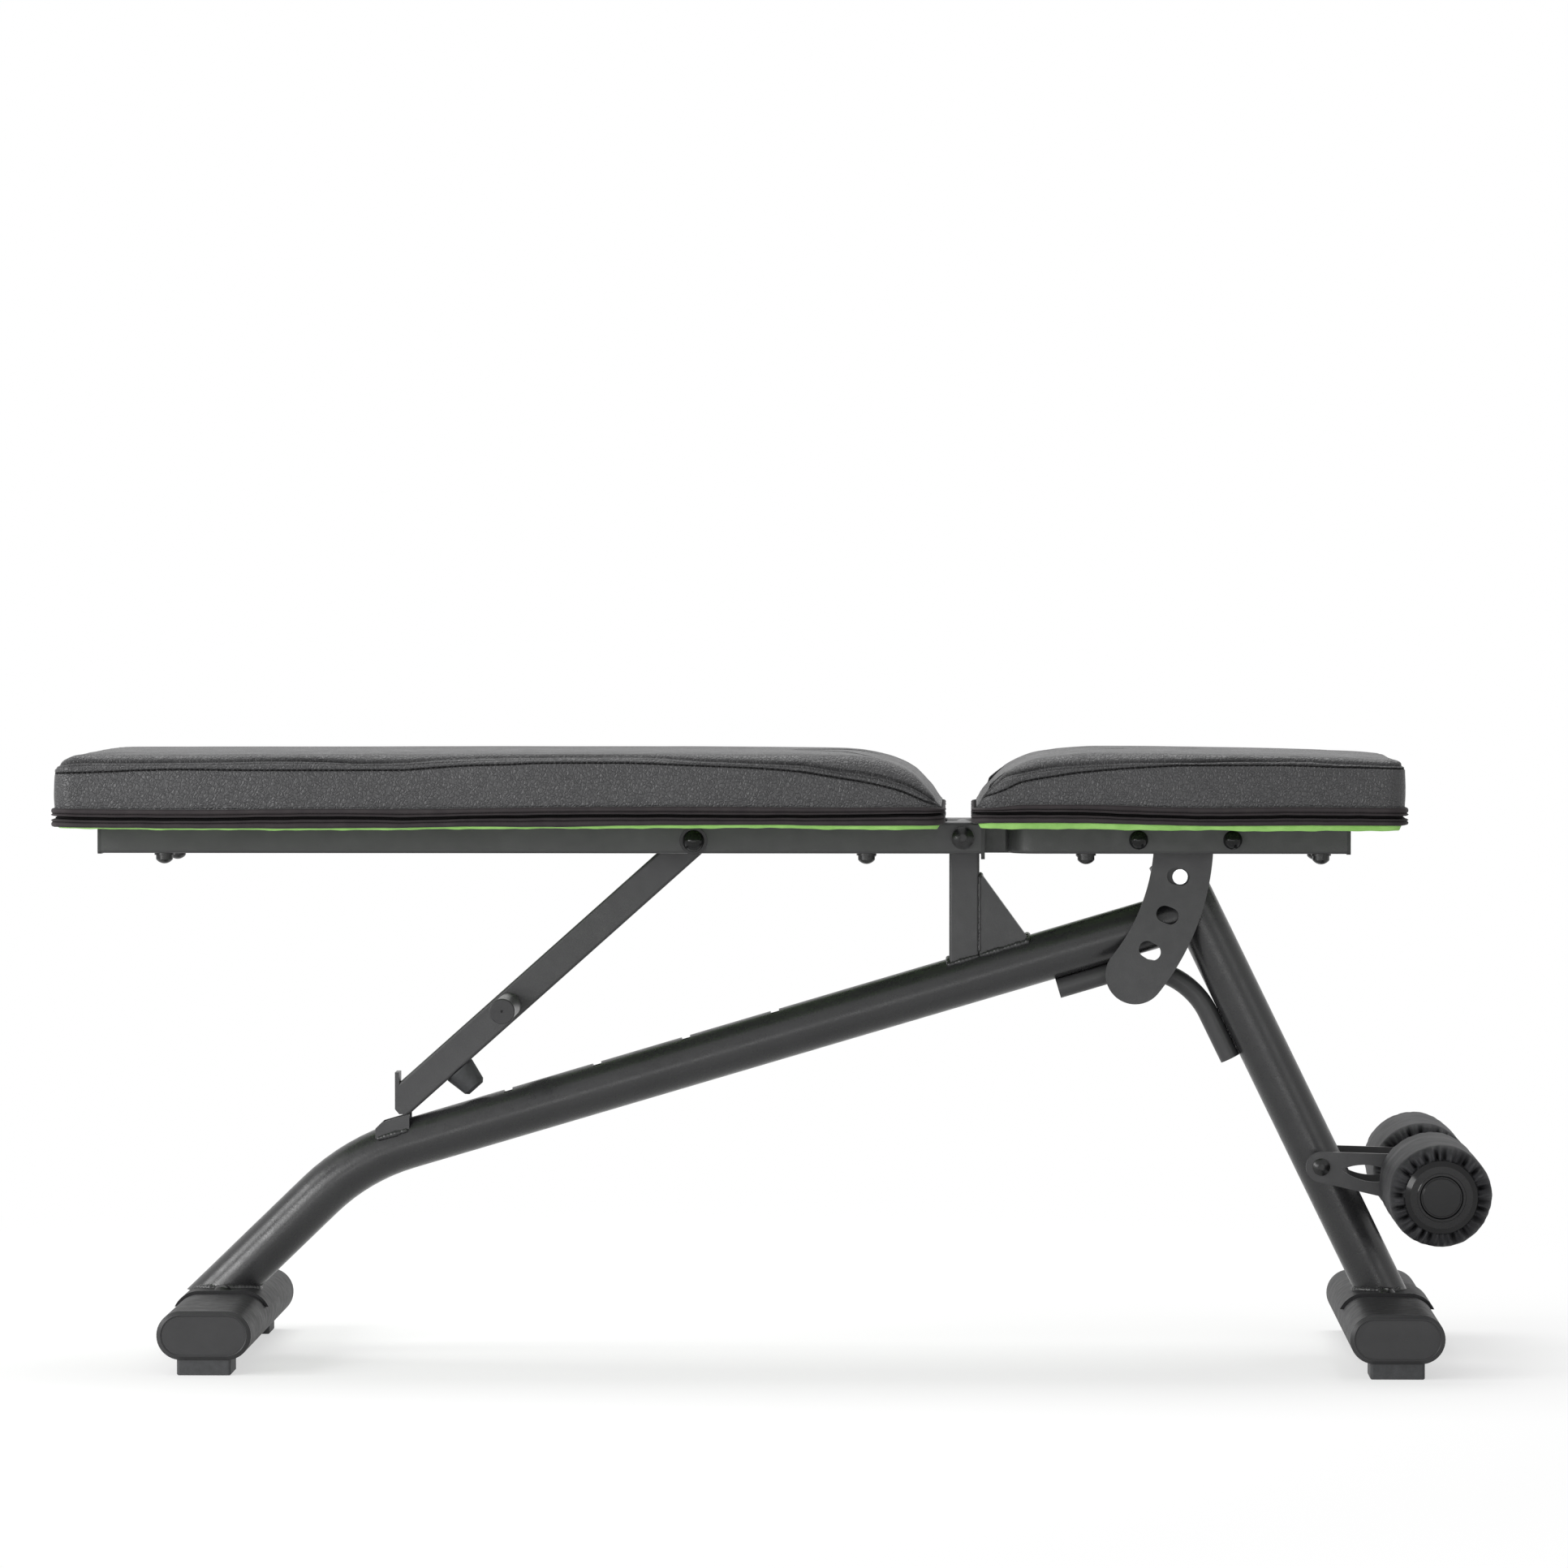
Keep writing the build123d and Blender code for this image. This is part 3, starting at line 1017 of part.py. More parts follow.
# ---------------------------------------------------------------- all sub-parts
def make_parts():
    """Every sub-part by name, laid out from the main pivot."""
    near_foam = roller_foam()
    return {
        "main_tube": main_tube(),
        "front_leg": front_leg(),
        "leg_top_plug": leg_top_plug(),
        "leg_brace": leg_brace(),
        "seat_post": seat_post(),
        "post_gusset": post_gusset(),
        "pivot_sleeve": pivot_sleeve(),
        "pivot_bolt": pivot_bolt(),
        "lock_nuts": group([bolt_nut(0, PIVOT_Z, PIVOT_BOLT_R, BOX_OUTER + GAP + WASHER_T),
                            bolt_nut(LINK_BOLT_X, LINK_BOLT_Z, LINK_BOLT_R, LINK_Y + LINK_T)]),
        "pivot_washers": pivot_washers(),
        "strut_catch": strut_catch(),
        "pin_housing": pin_housing(),
        "rear_foot_bar": foot_bar(REAR_FOOT_X, REAR_FOOT_HALF),
        "front_foot_bar": foot_bar(FRONT_FOOT_X, FRONT_FOOT_HALF),
        "rear_saddle": saddle(REAR_FOOT_X),
        "front_saddle": saddle(FRONT_FOOT_X),
        "saddle_bolts": saddle_bolts(),
        "rear_end_caps": both_sides(foot_end_cap(REAR_FOOT_X, REAR_FOOT_HALF)),
        "front_end_caps": both_sides(foot_end_cap(FRONT_FOOT_X, FRONT_FOOT_HALF)),
        "rear_rubber_feet": both_sides(rubber_foot(REAR_FOOT_X, REAR_FOOT_HALF)),
        "front_rubber_feet": both_sides(rubber_foot(FRONT_FOOT_X, FRONT_FOOT_HALF)),
        "roller_links": both_sides(link_plate()),
        "roller_link_spacers": both_sides(link_spacer()),
        "roller_link_bolt": link_bolt(),
        "roller_bar": roller_bar(),
        "roller_end_caps": both_sides(roller_end_cap()),
        "roller_foam_near": near_foam,
        "roller_foam_far": far_side(near_foam),
        "back_tubes": both_sides(back_tube()),
        "back_tube_plugs": back_tube_plugs(),
        "back_cross_tubes": group([cross_tube(x) for x in BACK_CROSS_X]),
        "back_board": board(BACK_PAD_REAR, BACK_PAD_FRONT, BACK_SCREW_X),
        "back_under_cover": under_cover(BACK_PAD_REAR, BACK_PAD_FRONT, BACK_SCREW_X),
        "back_zip_band": zip_band(BACK_PAD_REAR, BACK_PAD_FRONT, BACK_PAD_FRONT),
        "back_pad": back_pad(),
        "back_pad_screws": pad_screws(BACK_SCREW_X),
        "strut_bolt": strut_bolt(),
        "strut_bolt_caps": strut_bolt_caps(),
        "strut_spacers": strut_spacers(),
        "strut_tube": strut_tube(),
        "strut_end_plate": strut_end_plate(),
        "strut_sleeve": strut_sleeve(),
        "strut_handle": strut_handle(),
        "strut_handle_caps": both_sides(handle_cap()),
        "strut_bumper": strut_bumper(),
        "seat_tubes": both_sides(seat_tube()),
        "seat_tube_plugs": seat_tube_plugs(),
        "seat_cross_tube": cross_tube(SEAT_CROSS_X),
        "adjust_plate": adjust_plate(),
        "plate_bolts": plate_bolts(),
        "plate_bolt_caps": plate_caps(),
        "plate_spacers": plate_spacers(),
        "seat_board": board(SEAT_PAD_REAR, SEAT_PAD_FRONT, SEAT_SCREW_X),
        "seat_under_cover": under_cover(SEAT_PAD_REAR, SEAT_PAD_FRONT, SEAT_SCREW_X),
        "seat_zip_band": zip_band(SEAT_PAD_REAR, SEAT_PAD_FRONT, SEAT_PAD_REAR),
        "seat_pad": seat_pad(),
        "seat_pad_screws": pad_screws(SEAT_SCREW_X),
        "pull_pin": pull_pin(),
        "pin_knob": pin_knob(),
        "pin_spring": pin_spring(),
    }


def export_parts():
    """Write each sub-part with the origin on the floor under the bench's middle."""
    os.makedirs("parts", exist_ok=True)
    parts = make_parts()
    boxes = [part.bounding_box() for part in parts.values()]
    middle_x = (min(box.min.X for box in boxes) + max(box.max.X for box in boxes)) / 2
    low_z = min(box.min.Z for box in boxes)
    for name, part in parts.items():
        export_step(Pos(-middle_x, 0, -low_z) * part, os.path.join("parts", name + ".step"))
    print("parts", len(parts), "pivot at x", round(-middle_x, 4), "z", round(PIVOT_Z - low_z, 4))
    return -middle_x


if __name__ == "__main__":
    export_parts()
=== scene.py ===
"""Looks of an adjustable weight bench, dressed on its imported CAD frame.

The steel frame, bolts, plugs and caps are the CAD nodes with real finishes. The upholstery, the zip
tapes, the green linings, the gathered roller covers, the thread, the weld beads and the end caps'
moulded lines are made here. Sizes are in millimetres about the main pivot: x forward, y across, z up
from the floor. place() turns them into metres in the row frame.
"""
import json
import math

import bpy
import numpy as np
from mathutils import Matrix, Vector
from mathutils.kdtree import KDTree


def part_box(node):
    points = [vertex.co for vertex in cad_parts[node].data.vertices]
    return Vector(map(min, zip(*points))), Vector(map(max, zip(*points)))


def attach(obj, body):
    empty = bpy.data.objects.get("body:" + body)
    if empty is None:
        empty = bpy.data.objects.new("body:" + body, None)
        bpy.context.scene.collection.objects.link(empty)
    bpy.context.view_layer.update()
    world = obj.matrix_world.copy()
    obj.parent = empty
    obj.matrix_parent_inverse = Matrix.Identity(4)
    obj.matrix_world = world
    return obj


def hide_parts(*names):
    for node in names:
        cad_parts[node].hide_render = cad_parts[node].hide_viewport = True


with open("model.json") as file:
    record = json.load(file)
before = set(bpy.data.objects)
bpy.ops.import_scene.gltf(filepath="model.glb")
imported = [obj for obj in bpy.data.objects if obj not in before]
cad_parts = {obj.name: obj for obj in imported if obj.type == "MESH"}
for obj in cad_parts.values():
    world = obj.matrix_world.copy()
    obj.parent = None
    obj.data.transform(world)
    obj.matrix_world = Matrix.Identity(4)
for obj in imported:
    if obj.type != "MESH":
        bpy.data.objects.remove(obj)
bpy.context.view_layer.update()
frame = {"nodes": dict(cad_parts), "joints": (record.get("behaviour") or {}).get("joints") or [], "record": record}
scene = bpy.context.scene
TAU = 2 * math.pi

# ---------------------------------------------------------------- places and sizes
joints = {joint["name"]: joint for joint in frame["joints"]}
PIVOT = np.array(joints["backrest_tilt"]["pos_m"]) * 1000
PIVOT_X, PIVOT_Z = PIVOT[0], PIVOT[2]

MAIN_R = 19.75                # round main tube
LEG_R = 19.0                  # round front leg
MAIN_SLOPE = math.radians(16.53)      # rise towards the front
MAIN_AXIS_Z = 297.4           # under the pivot
REAR_LEG_SLOPE = math.radians(44.0)
REAR_CORNER_X = -482.5        # where the main tube bends down to the rear bar
LEG_SLOPE = math.radians(64.05)
BAR_TOP = 50.0                # oval foot bars
BAR_HIGH = 38.0
BAR_LONG = 73.4
SADDLE_T = 2.5                # plate bent over each bar under a leg
POST_X, POST_HALF = 1.1, 12.0
GUSSET_FRONT_X = 50.5
GUSSET_TOP_Z = 380.0
BOX_TOP = PIVOT_Z + 12.5      # top of the seat and backrest tubes
BOARD_TOP = 438.2
PAD_HALF = 130.0
PAD_CORNER = 15.0


def place(points):
    """Millimetres about the pivot to metres in the row frame."""
    points = np.asarray(points, float).copy()
    points[..., 0] += PIVOT_X
    return points / 1000


# ---------------------------------------------------------------- numbers and curves
def smooth(t):
    """Ease from 0 to 1: 3t^2 - 2t^3, held outside."""
    t = np.clip(t, 0, 1)
    return t * t * (3 - 2 * t)


def through(points, x):
    """Smooth line through (x, value) points: cubic pieces whose slopes never overshoot."""
    px, pz = np.array(points, float).T
    run, rise = np.diff(px), np.diff(pz)
    slope = rise / run
    left, right = slope[:-1], slope[1:]
    inner = np.where(left * right > 0, 2 * left * right / (left + right + 1e-12), 0)
    tangent = np.concatenate([slope[:1], inner, slope[-1:]])
    x = np.clip(x, px[0], px[-1])
    k = np.clip(np.searchsorted(px, x) - 1, 0, len(run) - 1)
    t = (x - px[k]) / run[k]
    return ((2 * t ** 3 - 3 * t ** 2 + 1) * pz[k] + (t ** 3 - 2 * t ** 2 + t) * run[k] * tangent[k]
            + (3 * t ** 2 - 2 * t ** 3) * pz[k + 1] + (t ** 3 - t ** 2) * run[k] * tangent[k + 1])


def wander(s, lengths, phases):
    """Gentle unevenness: a sum of sines of the given lengths, at most about 1 either way."""
    total = sum(np.sin(TAU * s / length + phase) for length, phase in zip(lengths, phases))
    return total / len(lengths)


def stretch(*parts):
    """Values along several stretches, each (from, to, spacing), without repeats."""
    values = [np.linspace(a, b, max(2, round(abs(b - a) / step) + 1)) for a, b, step in parts]
    return np.concatenate([values[0]] + [v[1:] for v in values[1:]])


# ---------------------------------------------------------------- meshes
def mesh_object(name, points, faces, flip=False):
    """Object from points in row-frame metres and faces, smooth shaded."""
    if flip:
        faces = [face[::-1] for face in faces]
    mesh = bpy.data.meshes.new(name)
    mesh.from_pydata([], [], [])
    mesh.from_pydata(np.asarray(points).tolist(), [], [list(map(int, face)) for face in faces])
    mesh.polygons.foreach_set("use_smooth", np.ones(len(mesh.polygons), bool))
    mesh.update()
    thing = bpy.data.objects.new(name, mesh)
    scene.collection.objects.link(thing)
    return thing


def grid_faces(rows, cols, around, along):
    """Quads of a rows by cols grid; around joins the last column to the first, along the rows."""
    index = np.arange(rows * cols).reshape(rows, cols)
    if around:
        index = np.hstack([index, index[:, :1]])
    if along:
        index = np.vstack([index, index[:1]])
    quads = np.stack([index[:-1, :-1], index[:-1, 1:], index[1:, 1:], index[1:, :-1]], -1)
    return quads.reshape(-1, 4)


def signed_volume(points, faces):
    """Six times the volume that a closed set of quads or triangles holds, signed by its winding."""
    total = 0.0
    for size in (3, 4):
        part = np.array([face for face in faces if len(face) == size], int)
        for k in range(1, size - 1):
            if len(part):
                a, b, c = points[part[:, 0]], points[part[:, k]], points[part[:, k + 1]]
                total += np.einsum("ij,ij->i", a, np.cross(b, c)).sum()
    return total


def closed_surface(name, grid, along=False):
    """Closed skin from a grid of points in millimetres: columns run round it, rows along it. Its
    two ends are closed by fans to their middles unless along joins them."""
    rows, cols = grid.shape[:2]
    points = place(grid.reshape(-1, 3))
    faces = grid_faces(rows, cols, True, along).tolist()
    if not along:
        first, last = len(points), len(points) + 1
        points = np.vstack([points, points[:cols].mean(0), points[-cols:].mean(0)])
        turn = [(k, (k + 1) % cols) for k in range(cols)]
        faces += [[first, b, a] for a, b in turn]
        faces += [[last, (rows - 1) * cols + a, (rows - 1) * cols + b] for a, b in turn]
    return mesh_object(name, points, faces, flip=signed_volume(points, faces) < 0)


def sweep(name, path, section, up, closed):
    """Skin of a section carried along a path. section holds (side, up) offsets, as rows by columns
    by 2, with one row for all places or one for each; side is square to the path and to up."""
    ahead = np.roll(path, -1, 0) - np.roll(path, 1, 0)
    if not closed:
        ahead[0], ahead[-1] = path[1] - path[0], path[-1] - path[-2]
    ahead /= np.linalg.norm(ahead, axis=1)[:, None]
    side = np.cross(ahead, up)
    side /= np.linalg.norm(side, axis=1)[:, None]
    rise = np.cross(side, ahead)
    grid = path[:, None] + section[..., :1] * side[:, None] + section[..., 1:] * rise[:, None]
    return closed_surface(name, grid, closed)


def finish_piece(piece, material, body):
    """Give a piece its material and its CAD body."""
    piece.data.materials.clear()
    piece.data.materials.append(material)
    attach(piece, body)
    return piece


def mesh_points(piece):
    """A mesh's points as an array in metres."""
    flat = np.empty(len(piece.data.vertices) * 3, np.float32)
    piece.data.vertices.foreach_get("co", flat)
    return flat.reshape(-1, 3).astype(float)


def mesh_normals(piece):
    """A mesh's point normals as an array."""
    flat = np.empty(len(piece.data.vertices) * 3, np.float32)
    piece.data.vertex_normals.foreach_get("vector", flat)
    return flat.reshape(-1, 3).astype(float)


def in_mm(points):
    """Row-frame metres back to millimetres about the pivot."""
    points = points * 1000
    points[:, 0] -= PIVOT_X
    return points


def set_points(piece, points):
    """Write an array of points in metres back into a mesh."""
    piece.data.vertices.foreach_set("co", points.astype(np.float32).ravel())
    piece.data.update()


def set_painted_fold_shade(piece, values):
    """Store how deep in a fold each point of a mesh lies, from 0 to 1, which sets how much painted
    shade its finish gets there; points past the end of values are not in one."""
    full = np.zeros(len(piece.data.vertices), np.float32)
    full[:values.size] = np.clip(values.ravel(), 0, 1)
    piece.data.attributes.new("fold", "FLOAT", "POINT").data.foreach_set("value", full)


def apply_modifiers(piece):
    """Keep what the modifiers make as the piece's own mesh."""
    graph = bpy.context.evaluated_depsgraph_get()
    made = bpy.data.meshes.new_from_object(piece.evaluated_get(graph))
    piece.modifiers.clear()
    piece.data = made
    made.polygons.foreach_set("use_smooth", np.ones(len(made.polygons), bool))
    made.update()


# ---------------------------------------------------------------- materials
def colour(text):
    """Linear colour of an sRGB hex value."""
    channels = [int(text[k:k + 2], 16) / 255 for k in (1, 3, 5)]
    return [c / 12.92 if c <= 0.04045 else ((c + 0.055) / 1.055) ** 2.4 for c in channels] + [1.0]


def add(tree, kind, inputs=None, **settings):
    """Add a node. inputs maps socket names or numbers to values or to other nodes' outputs."""
    made = tree.nodes.new(kind)
    for key, value in settings.items():
        setattr(made, key, value)
    for key, value in (inputs or {}).items():
        if isinstance(value, bpy.types.NodeSocket):
            tree.links.new(value, made.inputs[key])
        else:
            made.inputs[key].default_value = value
    return made


def new_material(name, base, roughness, **sockets):
    """Material with one Principled shader; sockets are its other uniform numbers."""
    material = bpy.data.materials.new(name)
    material.use_nodes = True
    tree = material.node_tree
    shader = tree.nodes["Principled BSDF"]
    shader.inputs["Base Color"].default_value = colour(base)
    shader.inputs["Roughness"].default_value = roughness
    for key, value in sockets.items():
        shader.inputs[key.replace("_", " ")].default_value = value
    return material, tree, shader


def object_position(tree):
    """Where a point lies on the object, in metres."""
    return add(tree, "ShaderNodeTexCoord").outputs["Object"]


def noise(tree, size_mm, detail=3.0, vector=None):
    """Cloudy noise whose blotches are about size_mm across."""
    vector = vector or object_position(tree)
    made = add(tree, "ShaderNodeTexNoise", {"Vector": vector, "Scale": 1000 / size_mm, "Detail": detail})
    return made.outputs["Fac"]


def tint(tree, shader, factor, low, high):
    """Let the base colour drift between two hex colours."""
    ramp = add(tree, "ShaderNodeValToRGB", {"Fac": factor})
    ramp.color_ramp.elements[0].color = colour(low)
    ramp.color_ramp.elements[1].color = colour(high)
    ramp.color_ramp.elements[0].position = 0.3
    ramp.color_ramp.elements[1].position = 0.7
    tree.links.new(ramp.outputs["Color"], shader.inputs["Base Color"])


def vary(tree, shader, socket, factor, low, high):
    """Let a shader socket drift between two numbers."""
    made = add(tree, "ShaderNodeMapRange", {"Value": factor, "From Min": 0.3, "From Max": 0.7,
                                            "To Min": low, "To Max": high})
    tree.links.new(made.outputs["Result"], shader.inputs[socket])


def relief(tree, shader, height, depth_mm, under=None):
    """Bump from a height of 0 to 1, depth_mm deep, on top of an earlier relief."""
    inputs = {"Height": height, "Distance": depth_mm / 1000, "Strength": 1.0}
    if under:
        inputs["Normal"] = under
    made = add(tree, "ShaderNodeBump", inputs)
    tree.links.new(made.outputs["Normal"], shader.inputs["Normal"])
    return made.outputs["Normal"]


def paint_shade_in_folds(tree, shader, most):
    """Painted shade: darken and dull a finish where the piece's own "fold" value rises from 0 to 1,
    by most of both at 1, for the shade that falls in creases."""
    fold = add(tree, "ShaderNodeAttribute", attribute_name="fold").outputs["Fac"]
    keep = add(tree, "ShaderNodeMath", {0: fold, 1: -most, 2: 1.0}, operation="MULTIPLY_ADD").outputs["Value"]
    base, shine = shader.inputs["Base Color"], shader.inputs["Specular IOR Level"]
    shaded = add(tree, "ShaderNodeVectorMath", {0: base.links[0].from_socket, "Scale": keep},
                 operation="SCALE")
    tree.links.new(shaded.outputs["Vector"], base)
    dulled = add(tree, "ShaderNodeMath", {0: keep, 1: shine.default_value}, operation="MULTIPLY")
    tree.links.new(dulled.outputs["Value"], shine)


def powder_coat(name, base, shade, roughness, shine):
    """Fine-texture polyester powder, sprayed and baked on steel. It gives a satin black that
    scatters light, with a faint sandy mottling. The real texture is 0.4 mm; it is drawn at 1.7 mm
    so that it shows."""
    material, tree, shader = new_material(name, base, roughness, IOR=1.5, Specular_IOR_Level=shine)
    tint(tree, shader, noise(tree, 45.0), base, shade)
    grain = noise(tree, 1.7, 4.0)
    vary(tree, shader, "Roughness", noise(tree, 9.0), roughness - 0.05, roughness + 0.06)
    relief(tree, shader, grain, 0.08)
    return material


def upholstery_vinyl(name, base, shade, roughness, grain_mm, depth_mm, shine):
    """PVC vinyl embossed with a leather grain and stretched over foam. Rounded pebbles with fine
    creases between them give a soft broken sheen."""
    material, tree, shader = new_material(name, base, roughness, IOR=1.5, Specular_IOR_Level=shine)
    tint(tree, shader, noise(tree, 70.0), base, shade)
    bent = add(tree, "ShaderNodeVectorMath", {0: object_position(tree)}, operation="ADD")
    drift = add(tree, "ShaderNodeTexNoise", {"Vector": object_position(tree), "Scale": 160.0, "Detail": 2.0})
    scaled = add(tree, "ShaderNodeVectorMath", {0: drift.outputs["Color"], "Scale": 0.004}, operation="SCALE")
    tree.links.new(scaled.outputs["Vector"], bent.inputs[1])
    pebbles = add(tree, "ShaderNodeTexVoronoi", {"Vector": bent.outputs["Vector"], "Scale": 1000 / grain_mm},
                  feature="DISTANCE_TO_EDGE")
    rounded = add(tree, "ShaderNodeMapRange", {"Value": pebbles.outputs["Distance"], "From Max": 0.22},
                  interpolation_type="SMOOTHSTEP")
    soft = relief(tree, shader, noise(tree, 14.0, 2.0), 0.5)
    relief(tree, shader, rounded.outputs["Result"], depth_mm, soft)
    vary(tree, shader, "Roughness", noise(tree, 20.0), roughness - 0.04, roughness + 0.05)
    # Painted shade in the folds and seam grooves that the piece marks.
    paint_shade_in_folds(tree, shader, 0.8)
    return material


def woven_tape(name, base, shade, roughness, rib_mm):
    """Polyester woven into a dense tape or cloth, with fine ribs both ways that kill the gloss."""
    material, tree, shader = new_material(name, base, roughness, IOR=1.5, Specular_IOR_Level=0.12,
                                          Sheen_Weight=0.1, Sheen_Roughness=0.45)
    tint(tree, shader, noise(tree, 12.0), base, shade)
    position = object_position(tree)
    ribs = {"Vector": position, "Scale": 1000 / rib_mm / TAU * 2, "Distortion": 0.4, "Detail": 1.0}
    warp = add(tree, "ShaderNodeTexWave", ribs, bands_direction="X")
    weft = add(tree, "ShaderNodeTexWave", ribs, bands_direction="Z")
    cloth = add(tree, "ShaderNodeMath", {0: warp.outputs["Fac"], 1: weft.outputs["Fac"]},
                operation="MAXIMUM")
    relief(tree, shader, cloth.outputs["Value"], 0.05)
    # Painted shade in the folds that the piece marks, such as the gap between the zip tapes.
    paint_shade_in_folds(tree, shader, 0.9)
    return material


def moulded_plastic(name, base, shade, roughness, grain_mm, depth_mm, shine=0.4):
    """Injection-moulded polypropylene with an eroded mould grain and slight sink in its colour."""
    material, tree, shader = new_material(name, base, roughness, IOR=1.49, Specular_IOR_Level=shine)
    tint(tree, shader, noise(tree, 18.0), base, shade)
    relief(tree, shader, noise(tree, grain_mm, 3.0), depth_mm)
    return material


def moulded_rubber(name):
    """Compression-moulded rubber: dull, slightly dusty, with a pitted skin."""
    material, tree, shader = new_material(name, "#2f3031", 0.7, IOR=1.52)
    tint(tree, shader, noise(tree, 5.0, 4.0), "#2b2c2d", "#37383a")
    relief(tree, shader, noise(tree, 2.0, 4.0), 0.18)
    return material


def zinc_plate(name):
    """Bright zinc plating over turned steel, with faint turning lines round its end."""
    material, tree, shader = new_material(name, "#d9dbdd", 0.24, Metallic=1.0)
    tint(tree, shader, noise(tree, 4.0), "#c9cccf", "#e6e8e9")
    position = object_position(tree)
    rings = add(tree, "ShaderNodeTexWave", {"Vector": position, "Scale": 260.0, "Distortion": 1.5},
                wave_type="RINGS", rings_direction="Y")
    relief(tree, shader, rings.outputs["Fac"], 0.03)
    return material


def black_oxide(name):
    """Hot black oxide on steel fasteners: a thin oily black with a soft metallic shine."""
    material, tree, shader = new_material(name, "#1d1d1e", 0.3, Metallic=0.35)
    tint(tree, shader, noise(tree, 6.0), "#191919", "#262627")
    vary(tree, shader, "Roughness", noise(tree, 3.0), 0.24, 0.4)
    return material


def birch_ply(name):
    """Birch plywood, sanded: pale face with long soft grain."""
    material, tree, shader = new_material(name, "#b08a5e", 0.62, IOR=1.5)
    stretched = add(tree, "ShaderNodeMapping", {"Vector": object_position(tree),
                                                "Scale": (6.0, 90.0, 400.0)})
    grain = add(tree, "ShaderNodeTexNoise", {"Vector": stretched.outputs["Vector"], "Scale": 1.0,
                                             "Detail": 5.0})
    tint(tree, shader, grain.outputs["Fac"], "#9d784e", "#bf9a6c")
    relief(tree, shader, grain.outputs["Fac"], 0.08)
    return material


def sewing_thread(name, base):
    """Bonded polyester thread, twisted: fine diagonal ridges and a soft sheen."""
    material, tree, shader = new_material(name, base, 0.5, IOR=1.5, Specular_IOR_Level=0.1)
    twist = add(tree, "ShaderNodeTexWave", {"Vector": object_position(tree), "Scale": 500.0},
                bands_direction="DIAGONAL")
    relief(tree, shader, twist.outputs["Fac"], 0.05)
    return material


COAT = powder_coat("satin_black_powder_coat", "#3e3e3f", "#383839", 0.36, 0.3)
# Painted shade: the round tubes get a darker, glossier copy of the same powder coat as the flat parts.
SHADED_TUBE_COAT = powder_coat("satin_black_powder_coat_on_tube", "#2b2b2c", "#262627", 0.28, 0.42)
BAR_COAT = powder_coat("satin_black_powder_coat_on_foot", "#2b2b2c", "#262627", 0.5, 0.12)
WELD_COAT = powder_coat("powder_coat_over_weld", "#333334", "#2c2c2d", 0.28, 0.4)
VINYL = upholstery_vinyl("charcoal_upholstery_vinyl", "#3b3b3c", "#353536", 0.44, 3.0, 0.42, 0.42)
ROLLER_VINYL = upholstery_vinyl("black_roller_vinyl", "#29292b", "#232325", 0.56, 2.2, 0.05, 0.16)
ZIP_TAPE = woven_tape("black_zip_tape", "#363233", "#2e2a2c", 0.7, 1.8)
GREEN_CLOTH = woven_tape("lime_green_lining", "#86b861", "#98c971", 0.8, 1.6)
PLASTIC = moulded_plastic("black_moulded_polypropylene", "#2e2e2f", "#282829", 0.42, 1.2, 0.05, 0.34)
GLOSSY_PLASTIC = moulded_plastic("polished_black_plastic", "#161617", "#131314", 0.16, 2.5, 0.015, 0.22)
ZIP_COIL = moulded_plastic("black_zip_coil_nylon", "#141213", "#0f0e0f", 0.5, 2.0, 0.02, 0.1)
RUBBER = moulded_rubber("black_moulded_rubber")
ZINC = zinc_plate("bright_zinc_plate")
OXIDE = black_oxide("black_oxide_steel")
PLY = birch_ply("birch_plywood")
THREAD = sewing_thread("black_bonded_thread", "#070707")

SLOT_FINISH = {"powder_coat": COAT, "black_fasteners": OXIDE, "zinc_steel": ZINC, "black_plastic": PLASTIC,
               "black_rubber": RUBBER, "vinyl": VINYL, "zip_tape": ZIP_TAPE, "green_cover": GREEN_CLOTH,
               "plywood": PLY, "foam_cover": ROLLER_VINYL}
NODE_FINISH = {"main_tube": SHADED_TUBE_COAT, "front_leg": SHADED_TUBE_COAT, "roller_bar": SHADED_TUBE_COAT,
               "rear_foot_bar": BAR_COAT, "front_foot_bar": BAR_COAT,
               "rear_saddle": BAR_COAT, "front_saddle": BAR_COAT,
               "plate_bolt_caps": GLOSSY_PLASTIC, "roller_end_caps": GLOSSY_PLASTIC,
               "strut_bolt_caps": GLOSSY_PLASTIC}


def dress_cad_nodes():
    """Give every CAD node its own finish, or else that of its slot."""
    for row in frame["record"]["subparts"]:
        node = frame["nodes"][row["node"]]
        node.data.materials.clear()
        node.data.materials.append(NODE_FINISH.get(row["node"], SLOT_FINISH[row["material_slot"]]))


# ---------------------------------------------------------------- pads
class PadShape:
    """Sizes of one pad in its side view, as (x, z) points: top is the height of its upper face,
    stitched its sewn seam, crease the soft fold above that, and tape_top, tape_gap and tape_low
    are the zip tapes' upper edge, middle and lower edge. roll is how far the top rolls in and down
    at the pad's tall end, and hem is how low its lining hangs."""

    def __init__(self, name, body, rear, front, hinge_front, roll):
        self.name, self.body, self.rear, self.front = name, body, rear, front
        self.hinge_front, self.roll = hinge_front, roll


